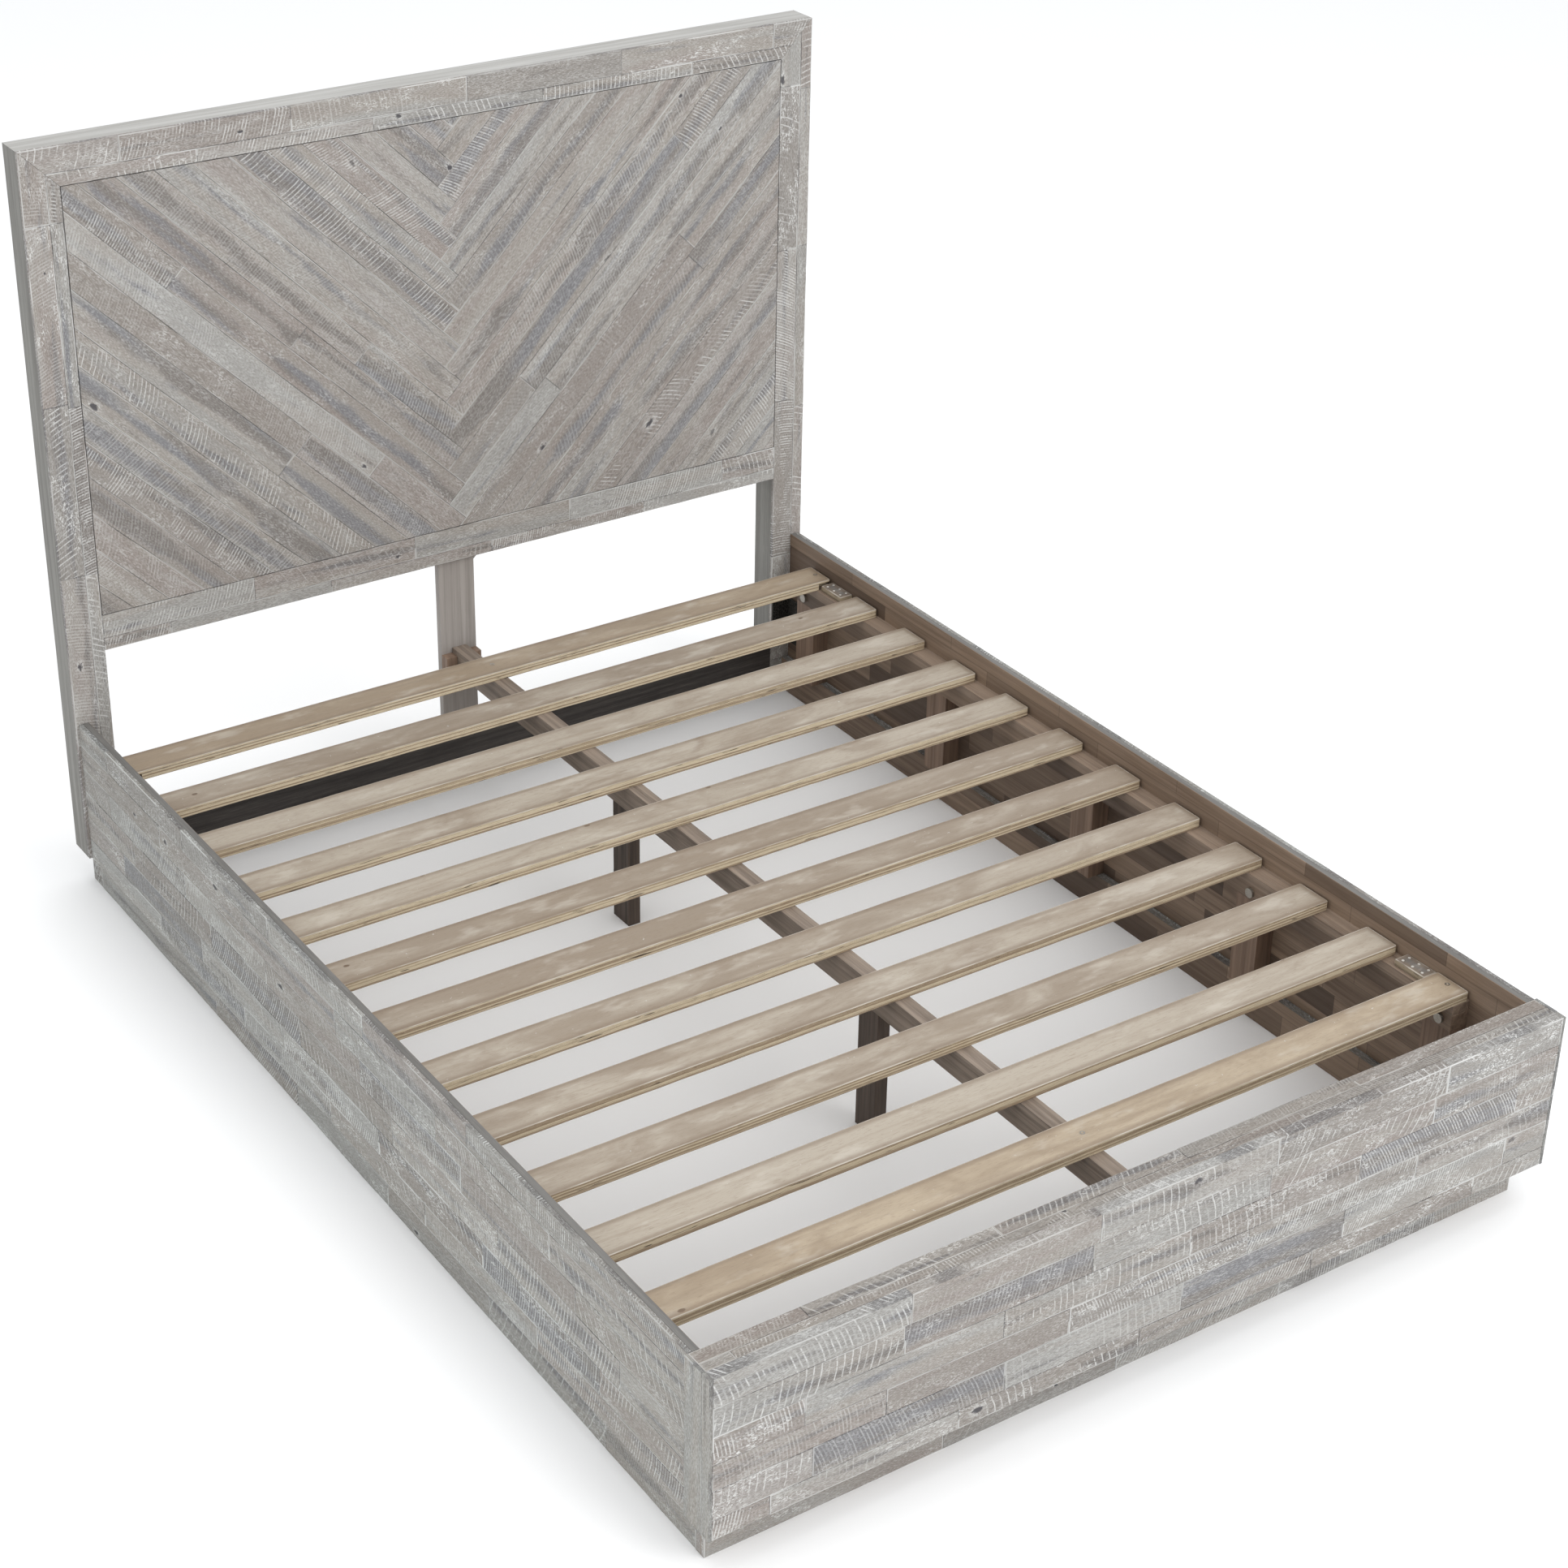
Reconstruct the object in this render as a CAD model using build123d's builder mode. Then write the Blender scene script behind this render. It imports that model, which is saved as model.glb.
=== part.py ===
"""Queen-size wooden platform bed frame with a chevron-panelled headboard.

Frame: +Y runs from the footboard to the headboard, +X is to the right for someone standing at
the foot and looking at the headboard, +Z is up. The origin is on the floor, under the middle of
the bed's outline. All sizes are in millimetres.
"""

import os

from build123d import *

# ---------------------------------------------------------------- driving dimensions
BED_WIDTH = 1600.0  # across the headboard and the footboard
BED_LENGTH = 2198.0  # footboard's outer face to headboard's back
BED_HEIGHT = 1434.0  # top of the headboard

BASE_HEIGHT = 72.0  # recessed plinth under everything that shows
BOARD_HEIGHT = 283.0  # footboard and side rails, above the plinth
PLINTH_INSET = 21.0  # plinth's outer face behind the footboard's end
FOOT_PLINTH_INSET = 42.0  # same, behind the footboard's outer face
PLINTH_THICK = 20.0

FOOTBOARD_FACE = 19.0  # layers of the footboard, from outside to inside
FOOTBOARD_CORE = 18.0
FOOTBOARD_LINING = 26.0
FOOTBOARD_END = 6.0  # upright strip that covers each end

RAIL_THICK = 20.0
RAIL_INSET = 5.0  # rail's outer face behind the footboard's end

HEADBOARD_DEPTH = 65.0
BORDER_WIDTH = 70.0  # posts and top rail, seen from the front
BOTTOM_RAIL_LOW = 490.0  # underside of the headboard's bottom rail
STRIP_PITCH = 70.0  # one chevron strip, measured up the middle line
FIRST_STEP = 15.0  # from the bottom rail up to the first step of the chevron's middle joint
CHEVRON_THICK = 12.0
BACKER_THICK = 12.0
BATTEN_DEPTH = 25.0
BATTEN_WIDTH = 60.0
BATTEN_SPACING = 480.0
BATTEN_COUNT = 3
BACK_PANEL_THICK = 6.0
BASE_BOARD_HEIGHT = 130.0  # cross board between the posts, at the floor
BASE_BOARD_THICK = 16.0
CENTRE_POST_WIDTH = 78.0
CENTRE_POST_THICK = 15.0
GLUE_BLOCK_LEG = 14.0

SLAT_COUNT = 12
SLAT_WIDTH = 70.0
SLAT_THICK = 18.0
SLAT_TOP = 315.0
SLAT_HALF_LENGTH = 770.0
SLAT_EASING = 0.8  # chamfer along a slat's long edges
NOTCH_SIZE = (28.0, 14.0, 12.5)  # relief under the last slat's front corners, by its stop blocks
FIRST_SLAT_Y = -889.0  # middle of the slat nearest the footboard
LAST_SLAT_Y = 915.0  # middle of the slat nearest the headboard

LEDGER_WIDTH = 37.0
LEDGER_CAP_THICK = 19.0  # plywood strip on top of the ledger
LEDGER_DEPTH = 30.0
SUPPORT_BLOCK_LENGTH = 60.0
SUPPORT_BLOCK_COUNT = 5

STOP_LENGTH = 66.0  # plywood block that keeps the next slat off the screwed one
STOP_WIDTH = 29.0
STOP_THICK = 12.0
STOP_GAP = 6.0  # from the screwed slat's edge to the block
STOP_SIDE_GAP = 1.0  # from the rail to the block

BEAM_WIDTH = 30.0
BEAM_DEPTH = 50.0
CENTRE_LEG_SIZE = (25.0, 54.0)
CENTRE_LEG_Y = (-359.0, 420.0)
CRADLE_WIDTH = 76.0
CRADLE_DEPTH = 21.0
CRADLE_TOP = 286.0
CRADLE_LOW = 226.0

SCREW_SHANK_R = 2.0
SCREW_HEAD_R = 4.5
SCREW_DRIVE_R = 2.2
SCREW_DRIVE_DEPTH = 2.0
SCREW_CLEARANCE = 0.15  # radial gap round a shank in its hole
SLAT_SCREW_LENGTH = 45.0
NAIL_R = 1.2
NAIL_LENGTH = 24.0
NAIL_HEAD_R = 2.4
NAIL_HEAD_THICK = 0.8
BOLT_R = 4.0
BOLT_LENGTH = 50.0
BOLT_END = 25.0  # from the ledger's end to the first bolt
BOLT_HEAD_R = 9.0
BOLT_HEAD_THICK = 5.0
BRACKET_LEG = 60.0
BRACKET_BOARD_LEG = 42.0
BRACKET_HEIGHT = 100.0
BRACKET_THICK = 3.0
BRACKET_LOW = 110.0
BRACKET_SCREW_EDGE = 20.0  # from the bracket's top and bottom to its screws
BRACKET_RAIL_SCREW = 39.0  # from the end board to the screws into the rail
BRACKET_BOARD_SCREW = 25.2  # from the rail to the screws into the end board
BRACKET_SCREW_LENGTH = 16.0
BRACKET_HEAD_THICK = 2.5
FIT = 0.3  # gap where a piece drops in between others

# ---------------------------------------------------------------- worked-out places
HALF_WIDTH = BED_WIDTH / 2
FOOT_OUTER = -BED_LENGTH / 2
FOOTBOARD_THICK = FOOTBOARD_FACE + FOOTBOARD_CORE + FOOTBOARD_LINING
FOOT_INNER = FOOT_OUTER + FOOTBOARD_THICK
HEAD_BACK = BED_LENGTH / 2
HEAD_FRONT = HEAD_BACK - HEADBOARD_DEPTH
BOARD_TOP = BASE_HEIGHT + BOARD_HEIGHT
RAIL_OUTER = HALF_WIDTH - RAIL_INSET
RAIL_INNER = RAIL_OUTER - RAIL_THICK
PLINTH_OUTER = HALF_WIDTH - PLINTH_INSET
PLINTH_INNER = PLINTH_OUTER - PLINTH_THICK
POST_INNER = HALF_WIDTH - BORDER_WIDTH
PANEL_LOW = BOTTOM_RAIL_LOW + BORDER_WIDTH
PANEL_TOP = BED_HEIGHT - BORDER_WIDTH
HEAD_BLOCK_BACK = HEAD_BACK - PLINTH_INSET
LEDGER_INNER = RAIL_INNER - LEDGER_WIDTH
SLAT_LOW = SLAT_TOP - SLAT_THICK
LEDGER_TOP = SLAT_LOW
LEDGER_MID = LEDGER_TOP - LEDGER_CAP_THICK
LEDGER_LOW = LEDGER_MID - LEDGER_DEPTH
LEDGER_FRONT = FIRST_SLAT_Y - SLAT_WIDTH / 2
LEDGER_BACK = LAST_SLAT_Y + SLAT_WIDTH / 2
BEAM_TOP = SLAT_LOW
BEAM_LOW = BEAM_TOP - BEAM_DEPTH
CENTRE_POST_FRONT = HEAD_FRONT + BASE_BOARD_THICK
SLAT_PITCH = (LAST_SLAT_Y - FIRST_SLAT_Y) / (SLAT_COUNT - 1)
SLAT_SCREW_X = RAIL_INNER - LEDGER_WIDTH / 2
STOP_TOP = LEDGER_TOP + STOP_THICK
BOLT_Z = LEDGER_MID - LEDGER_DEPTH / 2
SIDES = {"left": -1, "right": 1}


def finish(part, name):
    """Name a finished piece and write it to its own file."""
    part.label = name
    export_step(part, f"parts/{name}.step")


def block(x_range, y_range, z_range):
    """A square-edged piece of timber between three pairs of planes, in the current part."""
    (x_low, x_high), (y_low, y_high), (z_low, z_high) = x_range, y_range, z_range
    with BuildSketch(Plane.XY.offset(z_low)) as section:
        with Locations(((x_low + x_high) / 2, (y_low + y_high) / 2)):
            Rectangle(x_high - x_low, y_high - y_low)
    extrude(section.sketch, amount=z_high - z_low)


def sided(side, inner, outer):
    """An X range that runs from inner to outer on the given side of the bed."""
    return tuple(sorted((side * inner, side * outer)))


def drill(plane, depth, radius=SCREW_SHANK_R):
    """A clearance hole from the plane's origin along its normal, in the current part."""
    with BuildSketch(plane) as hole:
        Circle(radius + SCREW_CLEARANCE)
    extrude(hole.sketch, amount=depth + SCREW_CLEARANCE, mode=Mode.SUBTRACT)


def fastener(plane, length, shank_r, head_r, head_thick):
    """A round-headed fastener whose head sits on the plane, in the current part."""
    with BuildSketch(plane) as shank:
        Circle(shank_r)
    extrude(shank.sketch, amount=length)
    with BuildSketch(plane) as head:
        Circle(head_r)
    extrude(head.sketch, amount=-head_thick)


os.makedirs("parts", exist_ok=True)

# ---------------------------------------------------------------- where the fasteners go
ENDS = {"foot": (FOOT_INNER, 1), "head": (HEAD_FRONT, -1)}  # inner face, and the way inwards
SLAT_SCREW_SPOTS = [
    (x, y) for x in (-SLAT_SCREW_X, 0, SLAT_SCREW_X) for y in (FIRST_SLAT_Y, LAST_SLAT_Y)
]
STOP_X = RAIL_INNER - STOP_SIDE_GAP - STOP_WIDTH / 2
STOP_OFFSET = SLAT_WIDTH / 2 + STOP_GAP + STOP_LENGTH / 2
STOP_Y = {"foot": FIRST_SLAT_Y + STOP_OFFSET, "head": LAST_SLAT_Y - STOP_OFFSET}


def nail_spots(side, end):
    """Two rows of three nails in one stop block."""
    return [
        (side * STOP_X + across * STOP_WIDTH / 4, STOP_Y[end] + along * STOP_LENGTH / 3)
        for across in (-1, 1)
        for along in (-1, 0, 1)
    ]


def bracket_planes(side, end):
    """Screw planes of one corner bracket: those into the rail, and those into the end board."""
    end_y, inwards = ENDS[end]
    rail_x = side * (RAIL_INNER - BRACKET_THICK)
    board_x = side * (RAIL_INNER - BRACKET_BOARD_SCREW)
    heights = (BRACKET_LOW + BRACKET_SCREW_EDGE, BRACKET_LOW + BRACKET_HEIGHT - BRACKET_SCREW_EDGE)
    into_rail = [
        Plane(origin=(rail_x, end_y + inwards * BRACKET_RAIL_SCREW, z), z_dir=(side, 0, 0))
        for z in heights
    ]
    into_board = [
        Plane(origin=(board_x, end_y + inwards * BRACKET_THICK, z), z_dir=(0, -inwards, 0))
        for z in heights
    ]
    return into_rail, into_board


def bolt_planes(side):
    """Planes of the bolts that hold one ledger to its rail, heads on the ledger's inner face."""
    step = (LEDGER_BACK - LEDGER_FRONT - 2 * BOLT_END) / (SUPPORT_BLOCK_COUNT - 1)
    ys = [LEDGER_FRONT + BOLT_END + index * step for index in range(SUPPORT_BLOCK_COUNT)]
    return [Plane(origin=(side * LEDGER_INNER, y, BOLT_Z), z_dir=(side, 0, 0)) for y in ys]


# ---------------------------------------------------------------- headboard frame
# The posts and the top rail are mitred together at the top corners, through the full depth.
for side_name, side in SIDES.items():
    with BuildPart() as headboard_post:
        with BuildSketch(Plane.XZ.offset(-HEAD_BACK)):
            with BuildLine():
                Polyline(
                    (side * HALF_WIDTH, BASE_HEIGHT),
                    (side * HALF_WIDTH, BED_HEIGHT),
                    (side * POST_INNER, PANEL_TOP),
                    (side * POST_INNER, BASE_HEIGHT),
                    close=True,
                )
            make_face()
        extrude(amount=HEADBOARD_DEPTH)
        for plane in bracket_planes(side, "head")[1]:
            drill(plane, BRACKET_SCREW_LENGTH)
    finish(headboard_post.part, f"headboard_post_{side_name}")

with BuildPart() as headboard_top_rail:
    with BuildSketch(Plane.XZ.offset(-HEAD_BACK)):
        with BuildLine():
            Polyline(
                (-HALF_WIDTH, BED_HEIGHT),
                (HALF_WIDTH, BED_HEIGHT),
                (POST_INNER, PANEL_TOP),
                (-POST_INNER, PANEL_TOP),
                close=True,
            )
        make_face()
    extrude(amount=HEADBOARD_DEPTH)
finish(headboard_top_rail.part, "headboard_top_rail")

with BuildPart() as headboard_bottom_rail:
    block((-POST_INNER, POST_INNER), (HEAD_FRONT, HEAD_BACK), (BOTTOM_RAIL_LOW, PANEL_LOW))
finish(headboard_bottom_rail.part, "headboard_bottom_rail")

# ---------------------------------------------------------------- headboard panel
# The two glued-up halves of the chevron meet in the stepped joint of a herringbone: each
# square-cut strip end butts against the long edge of the strip from the other side.
def seam_x(z):
    """How far right of the middle the stepped joint is at a given height."""
    along = (z - PANEL_LOW - FIRST_STEP) % STRIP_PITCH
    return STRIP_PITCH / 4 - min(along, STRIP_PITCH - along)


seam_heights = [PANEL_LOW]
step_z = PANEL_LOW + FIRST_STEP
while step_z < PANEL_TOP:
    seam_heights.append(step_z)
    step_z += STRIP_PITCH / 2
seam_heights.append(PANEL_TOP)
seam = [(seam_x(z), z) for z in seam_heights]

for side_name, side in SIDES.items():
    with BuildPart() as chevron_panel:
        with BuildSketch(Plane.XZ.offset(-HEAD_FRONT - CHEVRON_THICK)):
            with BuildLine():
                Polyline(
                    *seam,
                    (side * POST_INNER, PANEL_TOP),
                    (side * POST_INNER, PANEL_LOW),
                    close=True,
                )
            make_face()
        extrude(amount=CHEVRON_THICK)
    finish(chevron_panel.part, f"chevron_panel_{side_name}")

backer_front = HEAD_FRONT + CHEVRON_THICK
batten_front = backer_front + BACKER_THICK
back_panel_front = batten_front + BATTEN_DEPTH

with BuildPart() as headboard_backer:
    block((-POST_INNER, POST_INNER), (backer_front, batten_front), (PANEL_LOW, PANEL_TOP))
finish(headboard_backer.part, "headboard_backer")

with BuildPart() as headboard_battens:
    with BuildSketch(Plane.XY.offset(PANEL_LOW)):
        with Locations((0, batten_front + BATTEN_DEPTH / 2)):
            with GridLocations(BATTEN_SPACING, 1, BATTEN_COUNT, 1):
                Rectangle(BATTEN_WIDTH, BATTEN_DEPTH)
    extrude(amount=PANEL_TOP - PANEL_LOW)
finish(headboard_battens.part, "headboard_battens")

with BuildPart() as headboard_back_panel:
    block(
        (-POST_INNER, POST_INNER),
        (back_panel_front, back_panel_front + BACK_PANEL_THICK),
        (PANEL_LOW, PANEL_TOP),
    )
finish(headboard_back_panel.part, "headboard_back_panel")

# ---------------------------------------------------------------- headboard legs and base board
with BuildPart() as headboard_centre_leg:
    block(
        (-CENTRE_POST_WIDTH / 2, CENTRE_POST_WIDTH / 2),
        (CENTRE_POST_FRONT, CENTRE_POST_FRONT + CENTRE_POST_THICK),
        (0, BOTTOM_RAIL_LOW),
    )
finish(headboard_centre_leg.part, "headboard_centre_leg")

with BuildPart() as headboard_glue_blocks:
    with BuildSketch(Plane.XZ.offset(-CENTRE_POST_FRONT - CENTRE_POST_THICK)):
        with BuildLine():
            corner = CENTRE_POST_WIDTH / 2
            Polyline(
                (corner, BOTTOM_RAIL_LOW),
                (corner + GLUE_BLOCK_LEG, BOTTOM_RAIL_LOW),
                (corner, BOTTOM_RAIL_LOW - GLUE_BLOCK_LEG),
                close=True,
            )
        make_face()
        mirror(about=Plane.YZ)
    extrude(amount=CENTRE_POST_THICK)
finish(headboard_glue_blocks.part, "headboard_glue_blocks")

with BuildPart() as headboard_base_board:
    block(
        (-POST_INNER, POST_INNER),
        (HEAD_FRONT, HEAD_FRONT + BASE_BOARD_THICK),
        (0, BASE_BOARD_HEIGHT),
    )
finish(headboard_base_board.part, "headboard_base_board")

for side_name, side in SIDES.items():
    with BuildPart() as head_foot_block:
        block(sided(side, POST_INNER, PLINTH_OUTER), (HEAD_FRONT, HEAD_BLOCK_BACK), (0, BASE_HEIGHT))
    finish(head_foot_block.part, f"headboard_foot_block_{side_name}")

# ---------------------------------------------------------------- footboard
layer_half = HALF_WIDTH - FOOTBOARD_END
layer_front = FOOT_OUTER
for layer_name, layer_thick in (
    ("face", FOOTBOARD_FACE),
    ("core", FOOTBOARD_CORE),
    ("lining", FOOTBOARD_LINING),
):
    with BuildPart() as footboard_layer:
        block(
            (-layer_half, layer_half),
            (layer_front, layer_front + layer_thick),
            (BASE_HEIGHT, BOARD_TOP),
        )
        if layer_name == "lining":
            for side in SIDES.values():
                for plane in bracket_planes(side, "foot")[1]:
                    drill(plane, BRACKET_SCREW_LENGTH)
    finish(footboard_layer.part, f"footboard_{layer_name}")
    layer_front += layer_thick

for side_name, side in SIDES.items():
    with BuildPart() as footboard_end:
        block(
            sided(side, layer_half, HALF_WIDTH),
            (FOOT_OUTER, FOOT_INNER),
            (BASE_HEIGHT, BOARD_TOP),
        )
    finish(footboard_end.part, f"footboard_end_{side_name}")

with BuildPart() as footboard_plinth:
    block(
        (-PLINTH_OUTER, PLINTH_OUTER),
        (FOOT_OUTER + FOOT_PLINTH_INSET, FOOT_INNER),
        (0, BASE_HEIGHT),
    )
finish(footboard_plinth.part, "footboard_plinth")

# ---------------------------------------------------------------- side rails
block_step = (LEDGER_BACK - LEDGER_FRONT - SUPPORT_BLOCK_LENGTH) / (SUPPORT_BLOCK_COUNT - 1)
block_ys = [
    LEDGER_FRONT + SUPPORT_BLOCK_LENGTH / 2 + index * block_step
    for index in range(SUPPORT_BLOCK_COUNT)
]
for side_name, side in SIDES.items():
    with BuildPart() as rail:
        block(sided(side, RAIL_INNER, RAIL_OUTER), (FOOT_INNER, HEAD_FRONT), (BASE_HEIGHT, BOARD_TOP))
        for plane in bolt_planes(side):
            drill(plane, BOLT_LENGTH, BOLT_R)
        for end in ENDS:
            for plane in bracket_planes(side, end)[0]:
                drill(plane, BRACKET_SCREW_LENGTH)
    finish(rail.part, f"side_rail_{side_name}")

    ledger_x, ledger_y = sided(side, LEDGER_INNER, RAIL_INNER), (LEDGER_FRONT, LEDGER_BACK)
    with BuildPart() as ledger:
        block(ledger_x, ledger_y, (LEDGER_LOW, LEDGER_MID))
        for plane in bolt_planes(side):
            drill(plane, BOLT_LENGTH, BOLT_R)
        for x, y in SLAT_SCREW_SPOTS:
            drill(Plane(origin=(x, y, SLAT_TOP), z_dir=(0, 0, -1)), SLAT_SCREW_LENGTH)
    finish(ledger.part, f"ledger_{side_name}")

    with BuildPart() as ledger_cap:
        block(ledger_x, ledger_y, (LEDGER_MID, LEDGER_TOP))
        for x, y in SLAT_SCREW_SPOTS:
            drill(Plane(origin=(x, y, SLAT_TOP), z_dir=(0, 0, -1)), SLAT_SCREW_LENGTH)
        for end in ENDS:
            for x, y in nail_spots(side, end):
                drill(Plane(origin=(x, y, STOP_TOP), z_dir=(0, 0, -1)), NAIL_LENGTH, NAIL_R)
    finish(ledger_cap.part, f"ledger_cap_{side_name}")

    with BuildPart() as ledger_support_blocks:
        with BuildSketch(Plane.XY.offset(BASE_HEIGHT)):
            with Locations(*[(side * (LEDGER_INNER + RAIL_INNER) / 2, y) for y in block_ys]):
                Rectangle(LEDGER_WIDTH, SUPPORT_BLOCK_LENGTH)
        extrude(amount=LEDGER_LOW - BASE_HEIGHT)
    finish(ledger_support_blocks.part, f"ledger_support_blocks_{side_name}")

    with BuildPart() as side_plinth:
        block(sided(side, PLINTH_INNER, PLINTH_OUTER), (FOOT_INNER, HEAD_FRONT), (0, BASE_HEIGHT))
    finish(side_plinth.part, f"side_plinth_{side_name}")

# ---------------------------------------------------------------- corner brackets
# A steel angle in each inside corner, below the ledgers' level, ties a rail to the footboard
# or to a headboard post.
for end, (end_y, inwards) in ENDS.items():
    for side_name, side in SIDES.items():
        into_rail, into_board = bracket_planes(side, end)
        rail_face, plate_face = side * RAIL_INNER, side * (RAIL_INNER - BRACKET_THICK)
        board_face = end_y + inwards * BRACKET_THICK
        board_reach = side * (RAIL_INNER - BRACKET_BOARD_LEG)
        with BuildPart() as corner_bracket:
            with BuildSketch(Plane.XY.offset(BRACKET_LOW)):
                with BuildLine():
                    Polyline(
                        (rail_face, end_y),
                        (rail_face, end_y + inwards * BRACKET_LEG),
                        (plate_face, end_y + inwards * BRACKET_LEG),
                        (plate_face, board_face),
                        (board_reach, board_face),
                        (board_reach, end_y),
                        close=True,
                    )
                make_face()
            extrude(amount=BRACKET_HEIGHT)
            for plane in into_rail + into_board:
                drill(plane, BRACKET_THICK)
        finish(corner_bracket.part, f"corner_bracket_{end}_{side_name}")

# ---------------------------------------------------------------- centre beam
with BuildPart() as centre_beam:
    block(
        (-BEAM_WIDTH / 2, BEAM_WIDTH / 2),
        (FOOT_INNER + FIT, CENTRE_POST_FRONT - FIT),
        (BEAM_LOW, BEAM_TOP),
    )
    for x, y in SLAT_SCREW_SPOTS:
        drill(Plane(origin=(x, y, SLAT_TOP), z_dir=(0, 0, -1)), SLAT_SCREW_LENGTH)
finish(centre_beam.part, "centre_beam")

for leg_name, leg_y in zip(("foot", "head"), CENTRE_LEG_Y):
    with BuildPart() as centre_leg:
        with BuildSketch(Plane.XY):
            with Locations((0, leg_y)):
                Rectangle(*CENTRE_LEG_SIZE)
        extrude(amount=BEAM_LOW)
    finish(centre_leg.part, f"centre_leg_{leg_name}")

# Each end of the beam drops into a notched block.
for cradle_name, cradle_y in (
    ("foot", (FOOT_INNER, FOOT_INNER + CRADLE_DEPTH)),
    ("head", (CENTRE_POST_FRONT - CRADLE_DEPTH, CENTRE_POST_FRONT)),
):
    with BuildPart() as beam_cradle:
        with BuildSketch(Plane.XZ.offset(-cradle_y[1])):
            with BuildLine():
                Polyline(
                    (-CRADLE_WIDTH / 2, CRADLE_LOW),
                    (-CRADLE_WIDTH / 2, CRADLE_TOP),
                    (-BEAM_WIDTH / 2 - FIT, CRADLE_TOP),
                    (-BEAM_WIDTH / 2 - FIT, BEAM_LOW),
                    (BEAM_WIDTH / 2 + FIT, BEAM_LOW),
                    (BEAM_WIDTH / 2 + FIT, CRADLE_TOP),
                    (CRADLE_WIDTH / 2, CRADLE_TOP),
                    (CRADLE_WIDTH / 2, CRADLE_LOW),
                    close=True,
                )
            make_face()
        extrude(amount=CRADLE_DEPTH)
    finish(beam_cradle.part, f"beam_cradle_{cradle_name}")

# ---------------------------------------------------------------- slats
# The first and the last slat are screwed down. The others lie loose on the ledgers and beam.
for index in range(SLAT_COUNT):
    slat_y = FIRST_SLAT_Y + index * SLAT_PITCH
    is_first, is_last = index == 0, index == SLAT_COUNT - 1
    with BuildPart() as slat:
        block(
            (-SLAT_HALF_LENGTH, SLAT_HALF_LENGTH),
            (slat_y - SLAT_WIDTH / 2, slat_y + SLAT_WIDTH / 2),
            (SLAT_LOW, SLAT_TOP),
        )
        chamfer(slat.edges().filter_by(Axis.X), SLAT_EASING)
        if is_first or is_last:
            with Locations(*[(x, y, SLAT_TOP) for x, y in SLAT_SCREW_SPOTS if y == slat_y]):
                CounterSinkHole(SCREW_SHANK_R + SCREW_CLEARANCE, SCREW_HEAD_R + SCREW_CLEARANCE)
        if is_last:
            notch_length, notch_depth, notch_height = NOTCH_SIZE
            notch_x = SLAT_HALF_LENGTH - notch_length / 2
            with Locations(*[(x, slat_y - SLAT_WIDTH / 2, SLAT_LOW) for x in (-notch_x, notch_x)]):
                Box(
                    notch_length,
                    notch_depth * 2,
                    notch_height,
                    align=(Align.CENTER, Align.CENTER, Align.MIN),
                    mode=Mode.SUBTRACT,
                )
    finish(slat.part, f"slat_{index + 1:02d}")

# ---------------------------------------------------------------- slat stop blocks
for end in ENDS:
    for side_name, side in SIDES.items():
        with BuildPart() as slat_stop:
            with BuildSketch(Plane.XY.offset(LEDGER_TOP)):
                with Locations((side * STOP_X, STOP_Y[end])):
                    Rectangle(STOP_WIDTH, STOP_LENGTH)
            extrude(amount=STOP_THICK)
            for x, y in nail_spots(side, end):
                drill(Plane(origin=(x, y, STOP_TOP), z_dir=(0, 0, -1)), STOP_THICK, NAIL_R)
        finish(slat_stop.part, f"slat_stop_{end}_{side_name}")

# ---------------------------------------------------------------- fasteners
with BuildPart() as slat_screws:
    for x, y in SLAT_SCREW_SPOTS:
        with BuildSketch(Plane(origin=(x, y, 0), x_dir=(1, 0, 0), z_dir=(0, -1, 0))):
            with BuildLine():
                Polyline(
                    (0, SLAT_TOP - SCREW_DRIVE_DEPTH),
                    (SCREW_DRIVE_R, SLAT_TOP),
                    (SCREW_HEAD_R, SLAT_TOP),
                    (SCREW_SHANK_R, SLAT_TOP - (SCREW_HEAD_R - SCREW_SHANK_R)),
                    (SCREW_SHANK_R, SLAT_TOP - SLAT_SCREW_LENGTH + SCREW_SHANK_R),
                    (0, SLAT_TOP - SLAT_SCREW_LENGTH),
                    close=True,
                )
            make_face()
        revolve(axis=Axis((x, y, 0), (0, 0, 1)))
finish(slat_screws.part, "slat_screws")

with BuildPart() as stop_block_nails:
    for side in SIDES.values():
        for end in ENDS:
            for x, y in nail_spots(side, end):
                downwards = Plane(origin=(x, y, STOP_TOP), z_dir=(0, 0, -1))
                fastener(downwards, NAIL_LENGTH, NAIL_R, NAIL_HEAD_R, NAIL_HEAD_THICK)
finish(stop_block_nails.part, "stop_block_nails")

with BuildPart() as ledger_bolts:
    for side in SIDES.values():
        for plane in bolt_planes(side):
            fastener(plane, BOLT_LENGTH, BOLT_R, BOLT_HEAD_R, BOLT_HEAD_THICK)
finish(ledger_bolts.part, "ledger_bolts")

with BuildPart() as bracket_screws:
    for side in SIDES.values():
        for end in ENDS:
            for plane in sum(bracket_planes(side, end), []):
                fastener(plane, BRACKET_SCREW_LENGTH, SCREW_SHANK_R, SCREW_HEAD_R, BRACKET_HEAD_THICK)
finish(bracket_screws.part, "bracket_screws")
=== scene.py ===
"""The looks of the queen platform bed frame: planked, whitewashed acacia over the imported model.

Everything is in metres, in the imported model's own frame: +Y runs from the footboard to the
headboard, +X is to the right seen from the foot, +Z is up, and the floor is z = 0.
"""

import math
import random

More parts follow.
